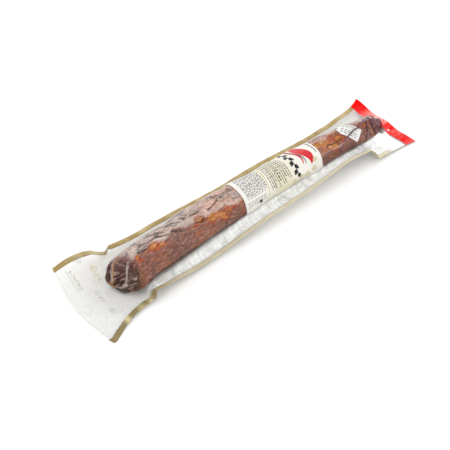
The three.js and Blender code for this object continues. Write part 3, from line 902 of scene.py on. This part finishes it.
ends_y = np.linspace(*ENDS_Y, 100)[:, None]
ends_turn = np.linspace(0, 2 * np.pi, 18, endpoint=False)[None, :]
wander = flat_points(0 * ends_y, ends_y)[:, 0]
middle_x = ENDS_X + 1.8 * mottle(wander + 3, 8)[:, None]
middle_z = ends_height(ends_y) + 1.4 * mottle(wander + 9, 6)[:, None]
taper = unit(np.minimum(ends_y - ENDS_Y[0], ENDS_Y[1] - ends_y) / 3) ** 0.5
thick = (2.3 + 1.5 * mottle(wander + 21, 5)[:, None]) * taper + 0.05
ends = np.stack(np.broadcast_arrays(
    middle_x + thick * np.cos(ends_turn), ends_y, middle_z + thick * np.sin(ends_turn)), axis=-1)
crumpled = 1 + 0.55 * crinkle(ends + 44, (3, 3.5, 3), 1.6)
ends[..., 0] = middle_x + thick * crumpled * np.cos(ends_turn)
ends[..., 2] = np.maximum(middle_z + thick * crumpled * np.sin(ends_turn), 0.8)
ends_faces = grid_faces(*ends.shape[:2], around=True)
ring = list(range(ends.shape[1]))
ends_faces += [ring[::-1]] + shifted([ring], (len(ends) - 1) * len(ring))
mesh_piece("casing_ends", ends.reshape(-1, 3), ends_faces, ends_finish(), "cured_meat")


# ---- The pouch -------------------------------------------------------------------------------------
# Two sheets of clear film, welded round the edge and emptied of air. The back sheet lies under the loin.
# The front one clings to the loin, label and tag, and runs down from them in hollow, wrinkled webs.

FILM = 1.2
FRONT_LIFT = FILM - 0.15  # the two films lie just inside the faces of the solid that stands for them
BACK_LIFT = 0.05
BACK_HAZE = 0.14
BAND = 8
RED_X = 563.3
POUCH_END = 586
TAIL_X = -58
TAIL_BOW = 12
TAIL_LIFT = 6
TAIL_RISES_X = -5
TAIL_FLAT = (-44, -26)
END_LIFT = 5
END_RISES_X = 552
END_WAVE = 66
END_CREST_Y = -2
LIFT_POWER = 1.5
CALM_Y = -70
CALM_REACH = 35
CLING = 0.85
FACE_CLING = 0.4
CLING_REACH = 26
CLING_POWER = 2.3
DISH_POWER = 1.6
FLAT_SHARE = 0.72
LEVEL = 5
PLEAT = 3
WEB_CROWDING = 1.25  # how far the rows of the webs crowd towards the loin
FRONT_EDGE = {  # x, y and z along each stretch
    "tail": [(-52, -73, 0), (-15, -59, 3), (15, -53, 5), (40, -53, 7)],
    "body": [(40, -52, 22), (67, -50, 14), (150, -50, 7), (250, -50, 16), (376, -50, 20), (446, -50, 27),
             (498, -50, 19)],
    "end": [(498, -62, 7), (557, -65, 3), (586, -70, 2)],
}
BACK_EDGE = {
    "tail": [(-52, 71, 36), (-23, 71, 38), (12, 72, 26), (29, 73, 11), (43, 73, 2)],
    "body": [(43, 69, 17), (85, 68, 11), (145, 67, 10), (254, 66, 3), (340, 64, 5), (450, 57, 5),
             (500, 56, 7)],
    "end": [(500, 56, 7), (560, 60, 9), (586, 68, 10)],
}
NEAR_PLEAT = [(-52, 42), (-30, 27), (24, 8), (69, 43)]  # y, x
FAR_PLEAT = [(-50, 500), (-20, 530), (20, 530), (60, 505)]
FILM_TONE = colour(0.87, 0.87, 0.855)
FILM_TINT = colour(0.950, 0.948, 0.938)
FILM_GREY = colour(0.42, 0.43, 0.42)
MIRROR = (0.011, 0.6)  # the film's reflection seen straight on and edge on
GLANCE = 6

near_pleat = through(NEAR_PLEAT, 1)
far_pleat = through(FAR_PLEAT, 1)


class Edge:
    """One edge of the pouch: its y at x, and the height that it gives the film at (x, y)."""

    def __init__(self, stretches):
        self.lines = {key: (through(line, 1), through(line, 2)) for key, line in stretches.items()}
        self.near = stretches["body"][0][0]
        self.far = stretches["end"][0][0]

    def joined(self, column, x, near, far):
        tail, body, end = (line[column](x) for line in self.lines.values())
        beside = mixed(tail, body, ease(x, near - PLEAT, near + PLEAT))
        return mixed(beside, end, ease(x, far - PLEAT, far + PLEAT))

    def y(self, x):
        return self.joined(0, x, self.near, self.far)

    def z(self, x, y):
        return self.joined(1, x, near_pleat(y), far_pleat(y))


front = Edge(FRONT_EDGE)
back = Edge(BACK_EDGE)


def flat_strip(x):
    """The strip of film that lies flat on the table."""
    half = FLAT_SHARE * radius_at(np.maximum(x, FACE_X))
    drift = unit(x / TAIL_X)
    return mixed(axis_y(x) - half, TAIL_FLAT[0], drift), mixed(axis_y(x) + half, TAIL_FLAT[1], drift)


def out_share(x, y):
    """How far a place lies from the flat strip towards the pouch's edge, from 0 to 1."""
    flat_front, flat_back = flat_strip(x)
    to_front = (flat_front - y) / (flat_front - front.y(x) - LEVEL)
    to_back = (y - flat_back) / (back.y(x) - flat_back - LEVEL)
    return unit(np.maximum(to_front, to_back))


def underside(x, y):
    share = out_share(x, y)
    edge_z = np.where(y < flat_strip(x)[0], front.z(x, y), back.z(x, y))
    tail = TAIL_LIFT * unit((x - TAIL_RISES_X) / (TAIL_X - TAIL_RISES_X)) ** LIFT_POWER
    wave = 0.5 + 0.5 * np.cos(2 * np.pi * (y - END_CREST_Y) / END_WAVE)
    end = END_LIFT * wave * unit((x - END_RISES_X) / (POUCH_END - END_RISES_X)) ** LIFT_POWER
    free = unit((y - CALM_Y) / CALM_REACH) * (1 - share**2)
    return edge_z * share**DISH_POWER + (tail + end) * free


def waves(x, y):
    """The slow waves that both sheets share: long ones in the open tail, short ones beside the loin."""
    points = flat_points(x, y)
    share = out_share(x, y)
    tail = fall(x, -5, 35)
    slow = 1.6 * mottle(points, (38, 30, 30)) + 0.9 * mottle(points + 51, (11, 16, 30)) * fall(x, -40, -15)
    crimped = 0.7 * mottle(points + 17, (11, 60, 60))
    return mixed(crimped, slow, tail) * share**1.5 * ease(share, 0, 0.5)


def plate(x, y):
    return np.maximum(underside(x, y) + waves(x, y), 0.02)


def web_height(x, y):
    """How far the front sheet stands over the back one: highest where it leaves the loin's flank."""
    axis = axis_y(np.clip(x, FACE_X, LOIN_END))
    radius = radius_at(np.clip(x, FACE_X, BODY_END))
    radius = np.where(x > SHOULDER_END, radius * 0.9, radius)
    edge_gap = np.where(y < axis, axis - radius - front.y(x), back.y(x) - axis - radius)
    besides = np.maximum(np.abs(y - axis) - radius, 0) / np.maximum(edge_gap - BAND - 1, 4)
    face_x = FACE_X - FACE_TURN * (y - axis)
    beyond = np.maximum(np.maximum(face_x - x, x - SHOULDER_END), 0) / CLING_REACH
    left = unit(1 - np.hypot(besides, beyond))
    cling = mixed(FACE_CLING, CLING, ease(x, FACE_X, FACE_X + 50))
    web = cling * radius * left**CLING_POWER
    neck_top = NECK_Z + NECK_RADIUS + 3
    neck_away = np.hypot((y - axis_y(TIE_X)) / 24, np.maximum(x - LOIN_END - 1, 0) / 11)
    neck = neck_top * unit(1 - neck_away) ** 1.5 * ease(x, 530, 545)
    past_ends = np.maximum(np.maximum(ENDS_Y[0] - y, y - ENDS_Y[1]), 0)
    over_ends = (ends_height(y) + 3.6) * hump(x, ENDS_X, 5.5) * fall(past_ends, 0, 8)
    return np.maximum.reduce([web, neck, over_ends])


def web_wrinkles(x, y):
    """Wrinkles of the front sheet: sharp ones across the webs, strongest near the loin."""
    points = flat_points(x, y)
    inside = span(out_share(x, y), 0.1, 0.4, 0.72, 0.9)
    beside = span(x, 20, 60, 535, 560)
    across = 0.8 * crinkle(points, (9, 40, 40), 2.2) + 0.4 * crinkle(points + 9, (5, 22, 40), 2.2)
    loose = 0.7 * crinkle(points + 23, (24, 20, 30), 3) + 0.35 * crinkle(points + 5, (10, 9, 9), 3)
    smooth = 1 - 0.95 * ease(x, 510, 530) * fall(y, -30, -14)
    rippled = fall(x, -48, -18) * span(y, -66, -58, -15, 20)
    ripples = 1.7 * crinkle(points + 61, (8, 13, 9), 2) * rippled
    return (inside * mixed(loose, across, beside) + 0.25 * loose * (1 - inside)) * smooth + ripples


def on_pouch(station, y, height):
    """A point of the pouch. Stations follow the bowed cut edge of the tail."""
    share = (y - front.y(station)) / (back.y(station) - front.y(station))
    bow = TAIL_BOW * ((2 * share - 1) ** 2 - 0.5)
    x = station + bow * unit(station / TAIL_X) ** 2
    return np.stack([x, y, height(x, y)], axis=-1)


def front_height(x, y):
    return plate(x, y) + FRONT_LIFT + web_height(x, y) + web_wrinkles(x, y)


def back_height(x, y):
    return plate(x, y) + BACK_LIFT


def pouch_rows(station, counts, inset=2.5):
    """Places across the pouch: front web, over the loin, back web; the webs are finest beside the loin."""
    radius = radius_at(np.clip(station, FACE_X, BODY_END)) - inset
    axis = axis_y(np.clip(station, FACE_X, LOIN_END))
    stops = [front.y(station), axis - radius, axis + radius, back.y(station)]
    shares = [1 - (1 - np.linspace(0, 1, counts[0], endpoint=False)) ** WEB_CROWDING,
              np.linspace(0, 1, counts[1], endpoint=False),
              np.linspace(0, 1, counts[2]) ** WEB_CROWDING]
    return np.concatenate([mixed(a, b, share) for a, b, share in zip(stops, stops[1:], shares)])


def partly_clear(material, cover, tint=colour(1, 1, 1)):
    """Lets a finish show on the covered share of its surface alone, over a clear tint."""
    tree = material.node_tree
    clear = put(tree, "BsdfTransparent", {"Color": tint}).outputs["BSDF"]
    shader = tree.nodes["Principled BSDF"].outputs["BSDF"]
    joined = put(tree, "MixShader", {0: cover, 1: clear, 2: shader}).outputs["Shader"]
    tree.links.new(joined, tree.nodes["Material Output"].inputs["Surface"])
    return material


def film_finish():
    """Clear film: white haze where creased, off the meat, or as painted glare; and a thin mirror all over."""
    material, tree = start_finish("clear_film", Roughness=0.1)
    tone = blended(tree, field(tree, "grey"), FILM_TONE, FILM_GREY)
    cloudy = unevenness(tree, (0.5, 1, 1), 110, 5, 0.65)
    streaks = unevenness(tree, (0.25, 1.6, 1.6), 260, 4, 0.6)
    clouds = levels(tree, cloudy, 0.3, 0.7, 0.78, 1.18)
    lines = levels(tree, streaks, 0.35, 0.65, 0.85, 1.13)
    haze = reckon(tree, "MULTIPLY", field(tree, "haze"), reckon(tree, "MULTIPLY", clouds, lines))
    facing = put(tree, "LayerWeight", {"Blend": 0.5}).outputs["Facing"]
    mirror = levels(tree, reckon(tree, "POWER", facing, GLANCE), 0, 1, *MIRROR)
    cover = reckon(tree, "ADD", haze, mirror, clamp=True)
    silvered = reckon(tree, "DIVIDE", mirror, cover, clamp=True)
    finished(material, tone, streaks, 0.55, 0.0004, Metallic=silvered)
    return partly_clear(material, cover, FILM_TINT)


film_look = film_finish()

# The front sheet beside and beyond the loin. It passes under the second skin where they meet.
web_stations = np.concatenate([np.arange(TAIL_X + 2.4, 60, 1.3), np.arange(60, 540, 1.6),
                               np.arange(540, RED_X, 1.2), [RED_X]])
rows = np.array([pouch_rows(station, (34, 24, 42)) for station in web_stations])
web_points = on_pouch(web_stations[:, None] + 0 * rows, rows, front_height)
web_x = web_points[..., 0]
web_y = web_points[..., 1]
past_face = web_x - FACE_X + FACE_TURN * (web_y - axis_y(FACE_X))
loin_near = np.abs(web_y - axis_y(web_x)) < radius_at(np.clip(web_x, 0, LOIN_END)) - 3
inside_loin = loin_near & (past_face > 5) & (web_x < SHOULDER_END - 6)
buried = inside_loin[:-1, :-1] & inside_loin[1:, :-1] & inside_loin[:-1, 1:] & inside_loin[1:, 1:]
web_folds = web_wrinkles(web_x, web_y)
off_loin = np.abs(web_y - axis_y(web_x)) - radius_at(np.clip(web_x, FACE_X, NECK_FROM))
off_loin = np.maximum(off_loin, -past_face)
near_side = fall(web_y, -30, 10)
stands_off = ease(off_loin, 0, mixed(16, 3.2, ease(web_x, 15, 45)))
web_haze = (0.16 + 0.6 * near_side * ease(web_x, 25, 60) + 0.16 * unit(web_folds)) * stands_off
aslant = flat_points(web_x + 0.8 * web_y, web_y - 0.8 * web_x)
fine_lines = crinkle(aslant + 77, (7, 30, 30), 4) * ease(mottle(web_points + 12, 20), -0.2, 0.2) * near_side
web_haze = web_haze * (1 - 0.3 * fine_lines * ease(web_x, 25, 60))
corner = hump(web_x, -25, 24) * hump(web_y, -22, 22)
ripple_shade = corner * ease(mottle(web_points + 35, (15, 12, 15)), 0.0, 0.5)
cut_edge = fall(web_stations, TAIL_X + 2.6, TAIL_X + 3.6)[:, None]
web_grey = unit(0.13 * fall(web_x, -10, 30) + 0.75 * ripple_shade + 0.9 * cut_edge)
# The end panel's milky film, whitened further as painted glare.
milky_and_glare = ease(web_x, 518, 545) * fall(web_y, -30, -14)
web_haze = web_haze + 0.3 * ripple_shade + 0.5 * cut_edge + 0.8 * milky_and_glare
in_from_edge = np.minimum(web_y - front.y(web_x), back.y(web_x) - web_y)
between_bands = ease(in_from_edge, BAND - 0.5, BAND + 0.5)
over_band = 0.1 + 0.2 * near_side * ease(web_x, 50, 80) + 0.35 * milky_and_glare
web_haze = unit(web_haze * mixed(over_band, 1.0, between_bands))
web_faces = [face[::-1] for face in grid_faces(*rows.shape, keep=~buried)]
front_film = mesh_piece("front_film", web_points.reshape(-1, 3), web_faces, film_look, "clear_film",
                        haze=web_haze, grey=web_grey)
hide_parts("bag")

# The back sheet, under everything.
back_stations = np.concatenate([np.arange(TAIL_X, 60, 2.0), np.arange(60, 540, 3.0),
                                np.arange(540, POUCH_END, 2.0), [POUCH_END]])
rows = np.array([pouch_rows(station, (22, 12, 26)) for station in back_stations])
back_points = on_pouch(back_stations[:, None] + 0 * rows, rows, back_height)
back_film = mesh_piece("back_film", back_points.reshape(-1, 3), grid_faces(*rows.shape), film_look,
                       "clear_film", haze=np.full(rows.shape, BACK_HAZE))
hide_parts("bag")

# The second skin: the part of the front sheet that clings to the loin and what lies on it.
SKIN_LIFT = 0.5
SKIN_AROUND = 150
FLANK_RADIUS = 28
FACE_PLEATS = [  # across and up the end face: where the film is pinched into a standing pleat
    ((16, 22), (9, -10)), ((-4, 27), (-11, -8)), ((-11, -8), (-2, -15)),
]
FLANK_PLEATS = [  # x and angle: raised lines where the film bridges from one thing to the next
    ((409, 49), (432, 51), (446, 53), (455, 47)), ((62, -24), (76, -20), (90, -24)),
    ((296, 96), (318, 40), (322, -10)), ((268, 92), (280, 30), (276, -20)),
]


def standing_over(x, arc, path_x, path_arc, tops, spread):
    """Height of film tented over a line: highest on it, falling away over `spread` mm."""
    tent = np.zeros(x.shape)
    for at_x, at_arc, top in zip(path_x, path_arc, tops):
        away = np.hypot(x - at_x, arc - at_arc)
        tent = np.maximum(tent, top * unit(1 - away / spread) ** 1.6)
    return tent


places, shares = loin_places(40, LOIN_STEP, LOIN_END + 2)
x = np.broadcast_to(places[:, None], (len(places), SKIN_AROUND))
share = np.broadcast_to(shares[:, None], x.shape)
wraps = 180 - 68 * span(x, FACE_X + 14, 60, 528, 546)
turn = np.radians(wraps) * np.linspace(1, -1, SKIN_AROUND)
arc = turn * radius_at(np.minimum(x, NECK_FROM))
on_the_label = ease(x, LABEL_X[0] - 2.5, LABEL_X[0]) - ease(x, LABEL_X[1], LABEL_X[1] + 2.5)
tag_u = (x - TAG_X) * math.cos(TAG_TURN) + (arc - TAG_ARC) * math.sin(TAG_TURN)
tag_v = (x - TAG_X) * math.sin(TAG_TURN) - (arc - TAG_ARC) * math.cos(TAG_TURN)
on_the_tag = fall(np.abs(tag_u), TAG_LENGTH / 2, TAG_LENGTH / 2 + 3)
on_the_tag = on_the_tag * fall(np.abs(tag_v), TAG_WIDTH / 2, TAG_WIDTH / 2 + 3)
every_fourth = slice(None, None, 4)
twine_tops = GAP + 2 * TWINE_RADIUS + twine_lift[every_fourth] + 0.4
twine_arc = twine_turn[every_fourth] * radius_at(twine_x[every_fourth])
over_twine = standing_over(x, arc, twine_x[every_fourth], twine_arc, twine_tops, 7.0)
over_knot = standing_over(x, arc, knot_x, knot_arc, knot_top, 5.0)
over_tie = (2 * TWINE_RADIUS + 1.2) * hump(x, TIE_X, 3.5)
base = on_loin(x, turn, SKIN_LIFT + 0 * x, share)
face_across = base[..., 1] - axis_y(x)
face_up = base[..., 2] - axis_z(x)
on_face = fall(x, FACE_X + 12, FACE_X + 16)
face_pleats = near_lines(FACE_PLEATS, face_across, face_up, 1.3) * on_face
bridges = [[(at, math.radians(turned) * FLANK_RADIUS) for at, turned in pleat] for pleat in FLANK_PLEATS]
flank_pleats = near_lines(bridges, x, turn * FLANK_RADIUS, 1.3)
folds = 0.45 * crinkle(base, (24, 8, 8), 3.2) + 0.3 * crinkle(base + 50, (10, 5, 5), 3)
folds = folds * mixed(1.0, 0.35, on_the_label)
face_folds = 0.9 * crinkle(base + 31, (5, 4, 6), 2.4) * on_face
on_paper = np.maximum(on_the_label, on_the_tag)
lift = SKIN_LIFT + np.maximum.reduce([PAPER_TOP * on_paper, over_twine, over_knot, over_tie])
lift = lift + folds + face_folds + 2.2 * face_pleats + 0.9 * flank_pleats
skin = on_loin(x, turn, lift, share)
skin[..., 2] = np.maximum(skin[..., 2], 0.45)

in_crease = near_creases(x, np.degrees(turn), 1.6)
on_glare_and_dry = glare_and_dry_share(base, x, turn) * (1 - on_face)
streaked = np.maximum(ease(mottle(base, (20, 4.5, 4.5)), 0.1, 0.5), shrunk_lines(base))
# Over the pale top, the film's haze also paints the glare of the light from behind.
skin_haze = 0.20 * on_glare_and_dry * (1 - 0.55 * streaked) * (1 - 0.9 * in_crease) + 0.035 * unit(folds / 0.45)
skin_haze = skin_haze + 0.22 * np.maximum(face_pleats, 0.8 * flank_pleats)
skin_haze = skin_haze * mixed(1.0, 0.15, on_paper)
skin_faces = [face[::-1] for face in grid_faces(*x.shape)]
second_skin = mesh_piece("clinging_film", skin.reshape(-1, 3), skin_faces, film_look, "clear_film",
                         haze=skin_haze)
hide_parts("bag")


# ---- The gold edges --------------------------------------------------------------------------------
# Two strips of gold ink, printed on the inside of the film along the pouch's sides, where its two sheets
# are welded together. Painted highlights make the ink paler where the edge tips towards the light, and
# painted shade darkens it near the tail.

GOLD = colour(0.36, 0.245, 0.075)
GOLD_PALE = colour(0.66, 0.58, 0.32)
GOLD_SHADE = colour(0.17, 0.125, 0.040)
INK_BELOW = 0.2  # the print's lower and upper faces, between the two films
INK_ABOVE = 0.75
FRONT_LIGHTS = [(-14, 5, 0.9), (14, 6, 0.6), (31, 4, 0.8)]  # x, half length and strength of the painted highlight bands


def gold_finish():
    material, tree = start_finish("gold_print", Roughness=0.34, Metallic=0.15, Specular_IOR_Level=0.25)
    patchy = unevenness(tree, (1, 0.4, 0.4), 45, 3)
    speckle = unevenness(tree, (1, 1, 1), 1400, 2)
    both = reckon(tree, "ADD", patchy, levels(tree, speckle, 0.3, 0.7, -0.06, 0.06))
    tone = layered(tree, GOLD, (levels(tree, both, 0.42, 0.68, 0, 0.6), GOLD_PALE),
                   (field(tree, "shaded"), GOLD_SHADE), (field(tree, "light"), GOLD_PALE))
    return finished(material, tone, speckle, 0.2, 0.0001)


def ink_below(x, y):
    return plate(x, y) + INK_BELOW


def ink_above(x, y):
    return plate(x, y) + INK_ABOVE


gold_look = gold_finish()
band_stations = np.append(np.arange(TAIL_X, RED_X - 0.4, 1.6), RED_X - 0.4)[:, None]
for name, side, inner, outer in (("front", front, BAND + 1.8, 0.3), ("back", back, -BAND, -0.3)):
    offsets = np.linspace(min(inner, outer), max(inner, outer), 7)[None, :]
    rows = side.y(band_stations) + offsets
    stations = band_stations + 0 * rows
    # Painted highlights (light) and painted shade (shaded) along each strip.
    if name == "front":
        light = sum(much * hump(stations, at, half) for at, half, much in FRONT_LIGHTS)
        light = unit(light + 0.65 * ease(stations, 60, 90) + 0.35 * ease(stations, 495, 510))
        shaded = 0.75 * fall(stations, 35, 60)
    else:
        light = 0.4 * hump(stations, 20, 10)
        shaded = 0.35 * hump(stations, 43, 5) + 0.15 * fall(stations, 20, 50)
    strip = slab(f"gold_strip_{name}", on_pouch(stations, rows, ink_below),
                 on_pouch(stations, rows, ink_above), gold_look, "gold_print", light=light, shaded=shaded)
    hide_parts(f"gold_edge_{name}")


# ---- The red end band ------------------------------------------------------------------------------
# The pouch's far end, where the two films are welded shut: a band printed solid red on the inside of the
# film, with a thin strip of painted shade along its inner edge and a small pale round spot.

RED = colour(0.74, 0.0, 0.0)
RED_DEEP = colour(0.55, 0.0, 0.001)
RED_GLARE = colour(0.86, 0.40, 0.36)
FOLD_SHADE_GREY = colour(0.24, 0.27, 0.31)
BAND_TOP = 0.9  # the print's upper face, just under the front film
SPOT_PLACE = (573, -20)
SPOT_RADIUS = 1.7


def red_finish():
    material, tree = start_finish("red_print", Roughness=0.3, Specular_IOR_Level=0.03)
    cloudy = unevenness(tree, (1, 0.5, 0.5), 60, 3)
    wrinkled = unevenness(tree, (0.6, 1, 1), 150, 4)
    # Painted glare: the red is paled in streaks where the band reflects the light.
    painted_glare = times(tree, field(tree, "glare"), levels(tree, wrinkled, 0.38, 0.60, 0.2, 1.6))
    tone = layered(tree, RED, (levels(tree, cloudy, 0.5, 0.8), RED_DEEP), (painted_glare, RED_GLARE),
                   (field(tree, "weld"), FOLD_SHADE_GREY), (field(tree, "spot"), FILM_TONE))
    return finished(material, tone, unevenness(tree, (1, 1, 1), 500, 3), 0.2, 0.0002)


def band_top(x, y):
    return plate(x, y) + BAND_TOP + web_height(x, y)


band_stations = np.linspace(RED_X, POUCH_END - 0.3, 20)[:, None]
across = np.linspace(0, 1, 130)[None, :]
rows = mixed(front.y(band_stations) + 0.3, back.y(band_stations) - 0.3, across)
stations = band_stations + 0 * rows
# A thin strip of painted shade along the front half of the band's inner edge.
weld = fall(stations, RED_X + 2.4, RED_X + 3.4) * span(rows, -66, -62, -36, -28)
# Painted glare across the middle of the band, with weaker streaks near its front.
glare = 1.1 * hump(rows, 12, 19) * (1 - 0.8 * hump(rows, -11, 5))
glare = glare + 0.22 * hump(rows, -36, 14) + 0.15 * hump(rows, -66, 7)
spot = unit(1.2 * hump(np.hypot(stations - SPOT_PLACE[0], rows - SPOT_PLACE[1]), 0, SPOT_RADIUS))
red_band = slab("red_end", on_pouch(stations, rows, ink_below), on_pouch(stations, rows, band_top),
                red_finish(), "red_print", weld=weld, glare=glare, spot=spot)
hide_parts("red_end_band")


# ---- The marks printed on the tail -----------------------------------------------------------------
# Faint plain ornaments on the front film of the open tail, in ink so thin that the film shows through it:
# lozenges, leaves and a line in grey, and lozenges and a leaf in gold.

MARK_LIFT = 0.12


def on_tail(x, y):
    return np.stack([x, y, front_height(x, y) + MARK_LIFT], axis=-1)


def faint_finish(name, tint):
    material, tree = start_finish(name, Base_Color=tint, Roughness=0.5)
    return partly_clear(material, levels(tree, unevenness(tree, (1, 1, 1), 500, 3), 0.35, 0.7, 0.3, 0.75))


marks = lozenge((-14, 61), 5.0, 0.45) + lozenge((-14, 61), 2.2, 0.45)
for y in np.arange(28, 58, 10):
    marks += lozenge((-34, y), 3.0, 0.55) + [drop((-37, y + 4.2), (-31, y + 5.8), 1.3)]
marks.append(line((-41, 24), (-39, 58), 0.4))
marks += lozenge((-17, 13), 3.8, 0.45) + [drop((-21, 6), (-14, 4), 1.1)] + lozenge((-18, -2), 2.8, 0.4)
printed("tail_marks", marks, on_tail, faint_finish("faint_marks", colour(0.40, 0.38, 0.32)), "clear_film")

warm_marks = [drop((-6, 25), (1, 27), 1.3)]
for middle, size in (((1, 46), 5.5), ((-2, 35), 4.8)):
    warm_marks += lozenge(middle, size, 0.6) + lozenge(middle, size * 0.45, 0.5)
printed("tail_warm_marks", warm_marks, on_tail, faint_finish("warm_marks", colour(0.55, 0.42, 0.12)),
        "clear_film")


# ---- The studio ------------------------------------------------------------------------------------
# A white table under soft white light that comes mostly from above and behind the pack, with a wide weak
# sun behind it for the shadow and a small one on its far side for the glints.

FLOOR_HALF = 12.0
TABLE_WHITE = colour(0.86, 0.86, 0.86)
BEHIND = Vector((0.42, 0.56, 0.72)).normalized()
BESIDE = Vector((0.9, -0.3, 0.3))
LIGHT_BACK = 1.42
LIGHT_FRONT = 1.17

floor_mesh = bpy.data.meshes.new("floor")
floor_corners = [(a * FLOOR_HALF, b * FLOOR_HALF, 0) for a, b in ((-1, -1), (1, -1), (1, 1), (-1, 1))]
floor_mesh.from_pydata(floor_corners, [], [(0, 1, 2, 3)])
floor = bpy.data.objects.new("floor", floor_mesh)
scene.collection.objects.link(floor)
floor_mesh.materials.append(
    start_finish("white_table", Base_Color=TABLE_WHITE, Roughness=0.9, Specular_IOR_Level=0.1)[0])

world = bpy.data.worlds.new("studio")
world.use_nodes = True
scene.world = world
sky = world.node_tree
direction = put(sky, "TexCoord").outputs["Generated"]
facing = put(sky, "VectorMath", {0: direction, 1: tuple(BEHIND)}, operation="DOT_PRODUCT").outputs["Value"]
strength = levels(sky, facing, 0.05, 0.75, LIGHT_FRONT, LIGHT_BACK)
sky.nodes["Background"].inputs["Color"].default_value = colour(1, 1, 1)
sky.links.new(strength, sky.nodes["Background"].inputs["Strength"])

for name, energy, spread, towards in (("window", 0.10, 80, BEHIND), ("lamp", 0.4, 5, BESIDE)):
    light = bpy.data.lights.new(name, "SUN")
    light.energy = energy
    light.angle = math.radians(spread)
    lamp = bpy.data.objects.new(name, light)
    lamp.rotation_euler = towards.to_track_quat("Z", "Y").to_euler()
    scene.collection.objects.link(lamp)

scene.view_settings.view_transform = "Standard"
